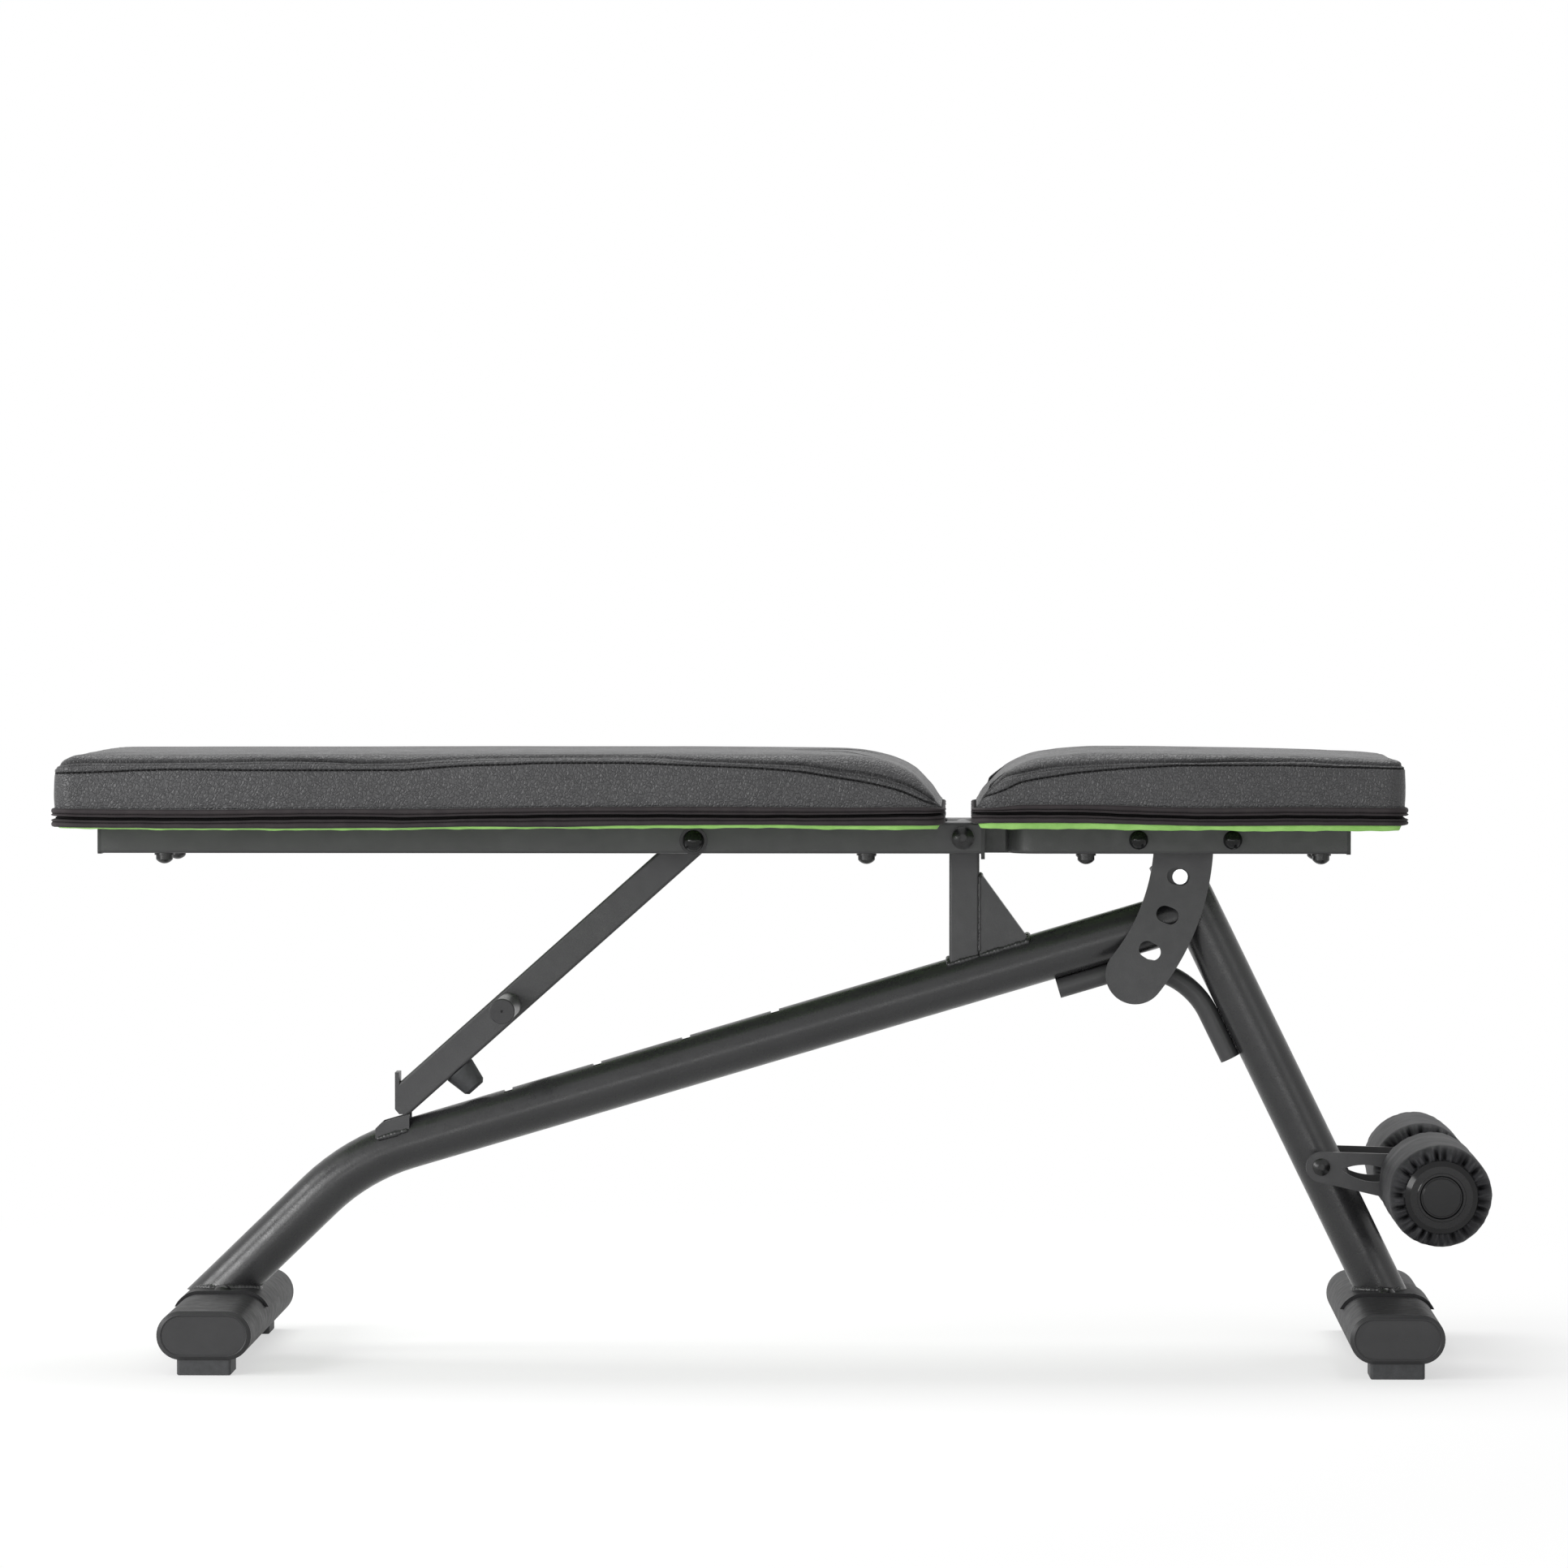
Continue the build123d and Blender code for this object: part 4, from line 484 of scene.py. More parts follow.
BACK = PadShape("back_pad", "backrest", -710.2, -16.5, True, (24.0, 15.0))
BACK.top = [(-710, 479.4), (-680, 479.8), (-620, 480.1), (-540, 480.3), (-450, 480.5), (-300, 480.8),
            (-175, 480.3), (-136, 479.9), (-96, 479.3), (-83, 478.4), (-72.5, 477), (-62, 474.9),
            (-51.4, 471.6), (-41, 466.6), (-35.6, 462.7), (-30.4, 457.4), (-25, 451), (-20, 443.2),
            (-16.5, 439.4)]
BACK.stitched = [(-710, 464.6), (-690, 465.2), (-669, 465.9), (-640, 467.2), (-611, 467.8),
                 (-554, 467.2), (-497, 467.2), (-440, 467.3), (-412, 469.2), (-383, 471.1),
                 (-355, 471.8), (-326, 473), (-269, 473.1), (-212, 471.2), (-156, 468.7), (-127, 466.2),
                 (-99, 461.8), (-70, 456.8), (-48, 451.1), (-30, 443.6), (-16.5, 438.6)]
BACK.crease = [(-710, 470.9), (-690, 473.6), (-640, 473.7), (-583, 474.2), (-526, 475.4), (-497, 474.8),
               (-469, 473.6), (-440, 473.8), (-412, 475.5), (-383, 476.8), (-326, 478.6), (-269, 478.7),
               (-241, 478), (-212, 475.6), (-156, 473.4), (-127, 472.2), (-99, 468.1), (-70, 464),
               (-42, 456), (-28, 448.4), (-16.5, 439)]
BACK.tape_top = [(-712, 437), (-662, 436.5), (-605, 436.2), (-491, 437), (-434, 436.8), (-320, 438.3),
                 (-206, 438.9), (-92, 438.3), (-36, 438.6), (-14, 437.6)]
BACK.tape_gap = [(-712, 430), (-688, 429.4), (-605, 428.8), (-491, 430), (-434, 429.4), (-377, 430.6),
                 (-263, 431.8), (-149, 431.3), (-36, 432.5), (-14, 433.2)]
BACK.tape_low = [(-712, 422.6), (-605, 421.8), (-548, 421.8), (-434, 422.4), (-377, 423.4), (-320, 423),
                 (-263, 424.3), (-149, 424.9), (-92, 424.3), (-14, 424.6)]
BACK.hem = [(-712, 421.8), (-680, 421.2), (-640, 420.6), (-500, 420.2), (-377, 421.3), (-240, 422),
            (-149, 422.4), (-95, 421.3), (-60, 421), (-14, 422)]

SEAT = PadShape("seat_pad", "seat", 10.5, 344.2, False, (7.5, 8.0))
SEAT.top = [(10.5, 439.6), (14.3, 445.9), (19.6, 453.8), (24.8, 459.6), (30, 464.3), (35.3, 468.1),
            (45.9, 473.4), (56.4, 476.7), (66.9, 478.4), (78, 479.6), (107, 481), (140, 481),
            (206, 480.2), (239, 479.6), (272, 478.8), (304, 477.6), (331, 476), (344.2, 475.2)]
SEAT.stitched = [(10.5, 438.6), (16, 446.4), (26, 449.9), (33, 452.4), (46, 458.3), (69, 462.5),
                 (91, 465.7), (135, 469.5), (179, 471.3), (245, 471.5), (289, 470.2), (344.2, 468.6)]
SEAT.crease = [(10.5, 439), (14, 444), (20, 452.4), (26, 458), (33, 463.4), (46, 466.5), (69, 470.5),
               (91, 472.3), (135, 474), (179, 474.6), (223, 475.5), (267, 475.1), (289, 473.6),
               (344.2, 471.4)]
SEAT.tape_top = [(8, 437.4), (24, 438.2), (47, 440.5), (84, 440.7), (122, 440.1), (160, 438.6),
                 (198, 438.3), (254, 438.9), (346, 438.2)]
SEAT.tape_gap = [(8, 433.8), (84, 433.8), (122, 432.5), (160, 431.3), (198, 430.6), (254, 431.3),
                 (346, 430.6)]
SEAT.tape_low = [(8, 425.5), (24, 426.6), (84, 426.6), (122, 425.9), (160, 424.9), (198, 424.3),
                 (273, 424.8), (346, 424.5)]
SEAT.hem = [(8, 422.4), (47, 422), (84, 421.9), (130, 421.3), (160, 420.6), (200, 420.9), (236, 420),
            (290, 420.5), (346, 420.2)]

SIDE_ROLL = 13.5              # rounding from a pad's side to its top
PUFF_CAP = 1.0                # most that the filling may push the skin out
VOXEL = 4.6                   # mesh size of the copy that the filling blows up


def plan_places(long, wide, corner, spacing):
    """Places round a rounded rectangle, anticlockwise from the near end of its front: for each,
    where it lies between the corners' centres, -1 to 1 both ways, and its outward normal."""
    corners = np.array([(1, -1), (1, 1), (-1, 1), (-1, -1)], float)
    arc = max(3, round(corner * math.pi / 2 / spacing))
    places, normals = [], []
    for k in range(4):
        here, there = corners[k], corners[(k + 1) % 4]
        count = round(((long if k % 2 else wide) - 2 * corner) / spacing)
        facing = k * math.pi / 2
        places += [here + (there - here) * np.arange(count)[:, None] / count, np.tile(there, (arc, 1))]
        angle = np.concatenate([np.full(count, facing), facing + np.arange(arc) / arc * math.pi / 2])
        normals.append(np.column_stack([np.cos(angle), np.sin(angle)]))
    return np.concatenate(places), np.concatenate(normals)


def ring(places, normals, rear, front, half, corner, rear_corner=None, front_corner=None):
    """Plan points at those places of a rounded rectangle. Each size is one number, or one number
    for each place; the last two are the corners' radii along x where they differ."""
    rear_corner = corner if rear_corner is None else rear_corner
    front_corner = corner if front_corner is None else front_corner
    from_x, to_x = rear + rear_corner, front - front_corner
    x = from_x + (to_x - from_x) * (places[:, 0] + 1) / 2
    x = x + normals[:, 0] * np.where(normals[:, 0] < 0, rear_corner, front_corner)
    return x, places[:, 1] * (half - corner) + corner * normals[:, 1]


def pad_skin(shape):
    """Closed skin of a pad as loops round its plan: across its base, up its side, close together
    at the seam and the fold, over the roll and in across its top. Also the seam's loop number."""
    places, normals = plan_places(shape.front - shape.rear, 2 * PAD_HALF, PAD_CORNER, 2.5)
    x0, _ = ring(places, normals, shape.rear, shape.front, PAD_HALF, PAD_CORNER)
    low, top = through(shape.tape_top, x0) - 1.2, through(shape.top, x0)
    seam, crease = through(shape.stitched, x0), through(shape.crease, x0)
    tall_end = np.clip(normals[:, 0] * (-1 if shape.hinge_front else 1), 0, 1) ** 2
    tall = top - low
    side_in = np.minimum(SIDE_ROLL, 0.6 * tall)
    down = np.minimum(SIDE_ROLL + (shape.roll[1] - SIDE_ROLL) * tall_end, 0.6 * tall)
    ends_in = (shape.roll[0], 0.8) if shape.hinge_front else (0.8, shape.roll[0])

    def loop(f, z, further=0.0):
        """One loop at height z: f is 0 on the upright side and 1 where the roll ends."""
        inward = [side_in * f + further, ends_in[0] * f + further, ends_in[1] * f + further]
        corners = [np.maximum(PAD_CORNER - far, 0.8) for far in inward]
        half = PAD_HALF - inward[0]
        x, y = ring(places, normals, shape.rear + inward[1], shape.front - inward[2], half, *corners)
        return np.column_stack([x, y, through(shape.top, x) if z is None else z])

    steps = np.concatenate([np.linspace(0.985, 0.06, 9), [0.03, 0.012]])
    rows = [loop(0 * low, low + (BOARD_TOP - low) * smooth(s * PAD_HALF / 5), s * PAD_HALF) for s in steps]
    heights = [low + (seam - 1.8 - low) * t for t in np.linspace(0, 1, 11)]
    heights += [seam + d for d in (-1.3, -0.85, -0.45, 0, 0.45, 0.85, 1.3)]
    heights += [crease + d for d in (-4.0, -3.3, -2.7, -2.2, -1.6, -1.0, -0.5, 0, 0.5, 1.0, 1.6, 2.3, 3.1)]
    heights = np.maximum.accumulate(np.array(heights), 0)
    count = len(heights)
    heights = np.minimum(heights, top - 0.04 * np.arange(count + 9, 9, -1)[:, None])
    heights = np.maximum(heights, low + 0.02 * np.arange(count)[:, None])
    turn = np.arcsin(np.clip((heights - (top - down)) / down, 0, 1))
    over = turn[-1] + (math.pi / 2 - turn[-1]) * np.linspace(0, 1, 10)[1:, None]
    heights = np.concatenate([heights, top - down * (1 - np.sin(over))])
    rows += [loop(1 - np.cos(t), z) for t, z in zip(np.concatenate([turn, over]), heights)]
    inner = PAD_HALF - SIDE_ROLL - 1.5
    rows += [loop(1 + 0 * low, None, further) for further in stretch((0, 40, 2.5), (40, inner, 7.0))[1:]]
    return np.array(rows), len(steps) + 14


def filling_push(grid, shape):
    """How far the filling pushes each point of the skin: a coarse copy of the skin, held along its
    seam and base, is blown up as cloth under pressure, and its push, under a cap, is read off."""
    copy = closed_surface("filling", grid)
    remesh = copy.modifiers.new("even", "REMESH")
    remesh.mode, remesh.voxel_size = "VOXEL", VOXEL / 1000
    apply_modifiers(copy)
    start = mesh_points(copy)
    local = in_mm(start.copy())
    held = smooth((BOARD_TOP + 4 - local[:, 2]) / 3)
    held = np.maximum(held, np.exp(-((local[:, 2] - through(shape.stitched, local[:, 0])) / 3.0) ** 2)
                      * smooth((16 - PAD_HALF + np.abs(local[:, 1])) / 6))
    group = copy.vertex_groups.new(name="held")
    for level in np.linspace(0.1, 1.0, 10):
        chosen = np.where((held > level - 0.1) & (held <= level + 1e-9))[0]
        if len(chosen):
            group.add(chosen.tolist(), float(level), "REPLACE")
    cloth = copy.modifiers.new("filling", "CLOTH")
    settings = cloth.settings
    settings.quality = 4
    settings.mass = 0.35
    settings.tension_stiffness = settings.compression_stiffness = 12.0
    settings.shear_stiffness, settings.bending_stiffness = 6.0, 0.8
    settings.use_pressure, settings.uniform_pressure_force = True, 4.0
    settings.vertex_group_mass = "held"
    settings.effector_weights.gravity = 0.0
    cloth.point_cache.frame_start, cloth.point_cache.frame_end = 1, 20
    for number in range(1, 21):
        scene.frame_set(number)
    apply_modifiers(copy)
    scene.frame_set(1)
    push = (mesh_points(copy) - start) * 1000
    bpy.data.objects.remove(copy)
    far = np.linalg.norm(push, axis=1)
    push *= (PUFF_CAP * np.tanh(far / PUFF_CAP / 3) / np.maximum(far, 1e-9))[:, None]
    tree = KDTree(len(local))
    for k, point in enumerate(local):
        tree.insert(point, k)
    tree.balance()
    near = [[index for _, index, _ in tree.find_n(point, 6)] for point in grid.reshape(-1, 3)]
    return push[np.array(near)].mean(1)


def build_pad(shape):
    """Upholstered pad: vinyl skin filled with foam. The sewn seam lies in a narrow groove with a
    padded strip and a soft double fold above it; the side is a little full and uneven, and short
    pulls run from the seam. Returns the seam's points and the skin's normals there."""
    grid, seam_row = pad_skin(shape)
    piece = closed_surface(shape.name + "_cover", grid)
    count = grid.shape[0] * grid.shape[1]
    points = grid.reshape(-1, 3)
    points = points + filling_push(grid, shape) * smooth((points[:, 2:] - BOARD_TOP) / 6)
    set_points(piece, place(np.vstack([points, in_mm(mesh_points(piece)[count:])])))
    x, y, z = points.T
    low, seam, crease = through(shape.tape_top, x), through(shape.stitched, x), through(shape.crease, x)
    edge = np.minimum(PAD_HALF - np.abs(y), np.minimum(x - shape.rear, shape.front - x))
    on_side = smooth((26 - edge) / 10)
    room = smooth((through(shape.top, x) - BOARD_TOP - 3) / 8)
    above = np.clip((z - low) / np.maximum(seam - low, 1), 0, 1)
    full = 0.55 * np.sin(math.pi * above) + 0.35 * np.exp(-((z - (seam + crease - 2.3) / 2) / 1.6) ** 2)
    fading = 0.75 + 0.25 * wander(x, (170.0, 260.0), (0.6, 2.0))
    groove = np.exp(-((z - seam) / 0.8) ** 2)
    second = np.exp(-((z - crease + 2.7) / 0.7) ** 2)
    lines = 0.9 * groove + 2.0 * fading * np.exp(-((z - crease) / 1.35) ** 2) + 0.5 * second
    # Painted shade: the finish is darkened along the seam's groove and the soft folds above it, on the sides.
    shaded = 0.9 * groove + 0.4 * second + 0.85 * fading * np.exp(-((z - crease - 0.2) / 1.3) ** 2)
    set_painted_fold_shade(piece, shaded * on_side * room)
    around = np.where(np.abs(y) > PAD_HALF - 20, x, y + 300)
    dents = wander(around + 0.6 * z, (63.0, 41.0, 150.0), (0.4, 2.0, 4.1))
    dents *= wander(z + 0.2 * around, (37.0, 55.0), (1.0, 3.3))
    pulls = wander(around, (11.0, 7.3, 17.0), (0.0, 1.1, 2.7)) * np.exp(-((z - seam) / 4.5) ** 2)
    broad = wander(x + 0.3 * y, (190.0, 310.0), (1.2, 0.3)) * smooth((edge - 20) / 40)
    outward = (full - lines + 0.14 * pulls) * on_side * room - 0.35 * dents * on_side * above + 0.25 * broad
    normals = mesh_normals(piece)[:count]
    points = points + normals * (outward * smooth((z - BOARD_TOP) / 3))[:, None]
    set_points(piece, place(np.vstack([points, in_mm(mesh_points(piece)[count:])])))
    finish_piece(piece, VINYL, shape.body)
    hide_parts(shape.name)
    normals = mesh_normals(piece)[:count]
    return points.reshape(grid.shape)[seam_row], normals.reshape(grid.shape)[seam_row]


# ---------------------------------------------------------------- thread
def stitches(name, centres, ahead, outward, long, radius):
    """Row of stitches: each is a short six-sided thread, thick in its middle and dipping at both
    ends, copied to every centre along its own directions."""
    angle = np.arange(6) * TAU / 6
    along = np.array([-0.5, -0.32, 0.32, 0.5])
    thick = np.array([0.35, 1.0, 1.0, 0.35])
    dip = np.array([-1.4, 0.0, 0.0, -1.4])
    across = np.cross(ahead, outward)
    t = along[:, None] * long + 0 * angle
    a = thick[:, None] * radius * np.cos(angle)
    b = thick[:, None] * radius * np.sin(angle) + dip[:, None] * radius
    template = np.stack([t, a, b], -1).reshape(-1, 3)
    frames = np.stack([ahead, across, outward], 1)
    points = centres[:, None] + np.einsum("kj,njc->nkc", template, frames)
    quads = grid_faces(4, 6, True, False).tolist() + [[5, 4, 3, 2, 1, 0], [18, 19, 20, 21, 22, 23]]
    one = points[0]
    flip = signed_volume(one, [q for q in quads if len(q) == 4]) < 0
    count = template.shape[0]
    faces = [[v + count * k for v in q] for k in range(len(centres)) for q in quads]
    return mesh_object(name, place(points.reshape(-1, 3)), faces, flip)


def sew(name, path, normals, body, pitch, long, radius, lift):
    """Sew along an open path that lies on a skin: every pitch a stitch, lying lift above it."""
    run = np.concatenate([[0], np.cumsum(np.linalg.norm(np.diff(path, axis=0), axis=1))])
    at = np.arange(pitch / 2, run[-1], pitch)
    centres = np.column_stack([np.interp(at, run, path[:, k]) for k in range(3)])
    out = np.column_stack([np.interp(at, run, normals[:, k]) for k in range(3)])
    out /= np.linalg.norm(out, axis=1)[:, None]
    ahead = np.gradient(centres, axis=0)
    ahead -= out * np.einsum("ij,ij->i", ahead, out)[:, None]
    ahead /= np.linalg.norm(ahead, axis=1)[:, None]
    thread = stitches(name, centres + out * lift, ahead, out, long, radius)
    return finish_piece(thread, THREAD, body)


def sew_pad(shape, path, normals):
    """Seam round the pad's sides and tall end; it stops where the pad thins to its hinge end."""
    if not shape.hinge_front:
        half = len(path) // 2
        path, normals = np.roll(path, half, 0), np.roll(normals, half, 0)
    keep = path[:, 0] < shape.front - 14 if shape.hinge_front else path[:, 0] > shape.rear + 6
    sew(shape.name + "_seam", path[keep], normals[keep], shape.body,
        pitch=4.2, long=3.2, radius=0.75, lift=0.0)


# ---------------------------------------------------------------- zip tapes
# From the gap (0) to a tape's edge (1): how far it stands out, and how deep in a fold it lies there.
TAPE_OUT = [(0.0, -2.2), (0.04, 0.9), (0.1, 1.9), (0.17, 2.3), (0.25, 2.0), (0.31, 1.3), (0.38, 1.2),
            (0.46, 1.9), (0.6, 2.2), (0.78, 2.1), (0.92, 1.5), (1.0, 0.0)]
# How much painted shade each of those places gets: most in the gap and at the tapes' edges.
TAPE_FOLD_SHADE = [1, 0.9, 0.25, 0, 0.1, 0.5, 0.55, 0.2, 0, 0, 0.3, 1]
TAPE_STITCH = 6               # which of those places carries the stitches
TAPE_BACK = -2.6              # inner face of the tapes
HALF_GAP = 1.0
COIL_R, COIL_IN, COIL_PITCH = 0.55, 1.5, 2.25


def zip_band(shape, x_rear, x_front, node):
    """Two folded tapes round the pad's lower edge, with a deep gap between their rolled edges and
    a stitched line beside each roll. The lower tape is lifted where it crosses the tubes. A nylon
    coil lies in the gap."""
    places, normals = plan_places(x_front - x_rear, 2 * PAD_HALF, PAD_CORNER, 2.4)
    x, y = ring(places, normals, x_rear, x_front, PAD_HALF, PAD_CORNER)
    tubes_end = x_front if shape.hinge_front else x_rear
    over = smooth((12 - np.abs(x - tubes_end)) / 8) * smooth((76 - np.abs(y)) / 8)
    run = np.concatenate([[0], np.cumsum(np.hypot(np.diff(x), np.diff(y)))])
    total = run[-1] + math.hypot(x[0] - x[-1], y[0] - y[-1])
    sway = wander(run, (total / 23, total / 41, total / 60), (0.2, 1.5, 3.0))
    low = through(shape.tape_low, x) + 0.25 * sway
    low += over * (BOX_TOP + 0.45 - low)
    gap = through(shape.tape_gap, x) + 0.2 * np.roll(sway, 40)
    high = through(shape.tape_top, x) + 0.4
    t, out = np.array(TAPE_OUT).T
    lower_z = (gap - HALF_GAP)[:, None] + (low - gap + HALF_GAP)[:, None] * t
    upper_z = (gap + HALF_GAP)[:, None] + (high - gap - HALF_GAP)[:, None] * t
    belly = 1 + 0.12 * wander(run, (total / 17, total / 29), (2.0, 0.7))[:, None]
    back = np.linspace(0, 1, 5)[1:-1]
    offset = np.concatenate([np.tile(out[::-1], (len(x), 1)) * belly, np.tile(out, (len(x), 1)) * belly,
                             np.full((len(x), len(back)), TAPE_BACK)], 1)
    height = np.concatenate([lower_z[:, ::-1], upper_z, high[:, None] * (1 - back) + low[:, None] * back], 1)
    plan = np.column_stack([x, y])
    grid = np.concatenate([plan[:, None] + normals[:, None] * offset[..., None], height[..., None]], 2)
    band = closed_surface(shape.name + "_zip_tapes", grid, along=True)
    # Painted shade in the gap between the tapes and along their edges.
    set_painted_fold_shade(band, np.tile(TAPE_FOLD_SHADE[::-1] + TAPE_FOLD_SHADE + [1] * len(back), (len(x), 1)))
    finish_piece(band, ZIP_TAPE, shape.body)
    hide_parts(node)
    flat_out = np.column_stack([normals, np.zeros(len(x))])
    for row, side_name in ((len(t) - 1 - TAPE_STITCH, "lower"), (len(t) + TAPE_STITCH, "upper")):
        path, ways = np.vstack([grid[:, row], grid[:1, row]]), np.vstack([flat_out, flat_out[:1]])
        sew(f"{shape.name}_zip_stitches_{side_name}", path, ways, shape.body,
            pitch=2.8, long=1.9, radius=0.24, lift=0.02)
    fine_places, fine_normals = plan_places(x_front - x_rear, 2 * PAD_HALF, PAD_CORNER, 0.75)
    fine_x, fine_y = ring(fine_places, fine_normals, x_rear, x_front, PAD_HALF, PAD_CORNER)
    fine_run = np.concatenate([[0], np.cumsum(np.hypot(np.diff(fine_x), np.diff(fine_y)))])
    centre = np.interp(fine_run, run, gap, period=total)
    ripple = 0.75 + 0.25 * np.sin(fine_run / COIL_PITCH * TAU)
    angle = np.arange(6) * TAU / 6
    out = 0.5 * ripple[:, None] * np.cos(angle) - COIL_IN
    height = centre[:, None] + COIL_R * ripple[:, None] * np.sin(angle)
    plan = np.column_stack([fine_x, fine_y])
    coil = np.concatenate([plan[:, None] + fine_normals[:, None] * out[..., None], height[..., None]], 2)
    coil_piece = closed_surface(shape.name + "_zip_coil", coil, along=True)
    finish_piece(coil_piece, ZIP_COIL, shape.body)


# ---------------------------------------------------------------- linings under the boards
def lining(shape, x_rear, x_front, node, clear_spots):
    """Green cloth zipped on under a board: a sheet over a grid in x and y. Just behind the zip tape
    it drops to its hem line; inside that it lies on the tubes and ripples between them. Near each
    of clear_spots, an x and a reach, it stays up, clear of the cross tubes and bolts."""
    inset, corner = 3.0, PAD_CORNER - 3.0
    rim_steps = np.array([0, 0.5, 1.0, 1.5, 2.0, 2.6, 3.4, 4.6, 6.4])
    x = np.concatenate([x_rear + inset + rim_steps, np.arange(x_rear + inset + 10, x_front - inset - 8, 4.0),
                        (x_front - inset - rim_steps)[::-1]])
    ends = np.minimum(x - x[0], x[-1] - x)
    bend = corner - np.minimum(ends, corner)
    half = PAD_HALF - inset - corner + np.sqrt(np.maximum(corner ** 2 - bend ** 2, 0))
    ys = []
    for widest in half:
        inner = np.linspace(-1, 1, 61) * (widest - 9.0)
        ys.append(np.concatenate([-widest + rim_steps, inner, (widest - rim_steps)[::-1]]))
    ys = np.array(ys)
    xs = np.repeat(x, ys.shape[1]).reshape(len(x), -1)
    edge = np.minimum(half[:, None] - np.abs(ys), ends[:, None])
    outside = smooth((np.abs(ys) - 63) / 9)
    wave = wander(xs, (47.0, 29.0, 18.0, 83.0), (0.5, 2.5, 4.0, 1.0)) * 0.55
    start = BOX_TOP + 0.7
    hem = through(shape.hem, xs) + wave
    drop = smooth(edge / 2.4) * (1 - 0.45 * smooth((edge - 4) / 14))
    rim_low = start + (through(shape.tape_low, xs) - 0.2 - start) * outside
    zs = start + (rim_low - start) * (1 - smooth(edge / 14)) + (hem - rim_low) * outside * drop
    between = smooth((36 - np.abs(ys)) / 12)
    for spot_x, reach in clear_spots:
        between = between * smooth((np.abs(xs - spot_x) - reach) / 14)
    ripple = wander(xs + 0.7 * ys, (58.0, 34.0, 91.0), (0.3, 1.9, 3.7))
    zs -= between * smooth(edge / 9) * (1.4 + 0.8 * ripple)
    points = np.stack([xs, ys, zs], -1)
    faces = grid_faces(len(x), ys.shape[1], False, False).tolist()
    sheet = mesh_object(shape.name + "_lining", place(points.reshape(-1, 3)), faces, flip=True)
    thick = sheet.modifiers.new("cloth", "SOLIDIFY")
    thick.thickness, thick.offset = 0.0006, 0.0
    apply_modifiers(sheet)
    finish_piece(sheet, GREEN_CLOTH, shape.body)
    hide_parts(node)


# ---------------------------------------------------------------- roller covers
GATHERS = 19                  # large pleats round each end
GATHER_DEEP = 5.6
SHOULDER, HEM_IN, BORE_R, END_DIP = 12.0, 12.0, 12.8, 1.6


def roller_cover(node, body, sign, phase):
    """Vinyl sock over a foam roller: a closed profile turned about the bar. Both ends draw in to
    an elastic hem, so their shoulders are gathered into rounded pleats with sharp creases, which
    fade along the roller; the sock is a little loose and uneven."""
    low, high = (np.array(corner) * 1000 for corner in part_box(node))
    radius, long = (high[2] - low[2]) / 2, high[1] - low[1]
    centre_x, centre_z = (high[0] + low[0]) / 2 - PIVOT_X, (high[2] + low[2]) / 2
    hem, inner_end = radius - HEM_IN, long - END_DIP
    turn = np.linspace(0, math.pi / 2, 12)
    ends = np.linspace(hem - 0.8, BORE_R, 4)
    profile = [      # each stretch: distance along the roller, radius, and 1 on the outer skin
        (np.linspace(SHOULDER, long - SHOULDER, 40), np.full(40, radius), 1.0),
        (long - SHOULDER + SHOULDER * np.sin(turn[1:]), hem + (radius - hem) * np.cos(turn[1:]), 1.0),
        (np.full(4, inner_end), ends, 0.0),
        (np.linspace(inner_end, END_DIP, 6)[1:-1], np.full(4, BORE_R), 0.0),
        (np.full(4, END_DIP), ends[::-1], 0.0),
        (SHOULDER - SHOULDER * np.cos(turn[:-1]), hem + (radius - hem) * np.sin(turn[:-1]), 1.0)]
    a, r, skin = (np.concatenate(part) for part in zip(
        *[(along, across, np.full(len(along), outer)) for along, across, outer in profile]))
    theta = np.arange(288) * TAU / 288
    end = np.minimum(a, long - a)
    pleat_depth = skin * smooth((radius + 1.2 - r) / 9) * np.exp(-np.maximum(end - SHOULDER, 0) / 7)
    warped = theta + 0.11 * np.sin(3 * theta + phase) + 0.07 * np.sin(7 * theta + 2 * phase)
    lumps = np.abs(np.sin(GATHERS * warped / 2)) - 0.62
    lesser = np.sin(GATHERS * 2.3 * theta + phase) * 0.16
    uneven = wander(theta * radius, (TAU * radius / 2, TAU * radius / 5), (phase, 1.0))
    loose = wander(a, (61.0, 97.0), (phase, 2.0))
    push = pleat_depth[:, None] * (lumps + lesser) * GATHER_DEEP
    push += skin[:, None] * (0.5 * uneven + 0.35 * loose[:, None])
    push += skin[:, None] * 0.5 * np.exp(-((np.angle(np.exp(1j * (theta + 0.55)))) / 0.06) ** 2)
    push -= skin[:, None] * 0.4
    ahead_a, ahead_r = np.gradient(a), np.gradient(r)
    size = np.hypot(ahead_a, ahead_r) + 1e-9
    normal_a, normal_r = -ahead_r / size, ahead_a / size
    normal_a, normal_r = normal_a * skin, np.where(skin > 0, normal_r, 0)
    aa = a[:, None] + normal_a[:, None] * push
    rr = r[:, None] + normal_r[:, None] * push
    y_inner = low[1] if sign > 0 else high[1]
    grid = np.stack([centre_x + rr * np.cos(theta), y_inner + sign * aa, centre_z + rr * np.sin(theta)], -1)
    cover = closed_surface(node + "_cover", grid, along=True)
    # Painted shade in the creases between the pleats.
    set_painted_fold_shade(cover, pleat_depth[:, None] * smooth((-0.05 - lumps - lesser) / 0.5))
    finish_piece(cover, ROLLER_VINYL, body)
    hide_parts(node)


# ---------------------------------------------------------------- weld beads
TORCH_STEP = 2.9


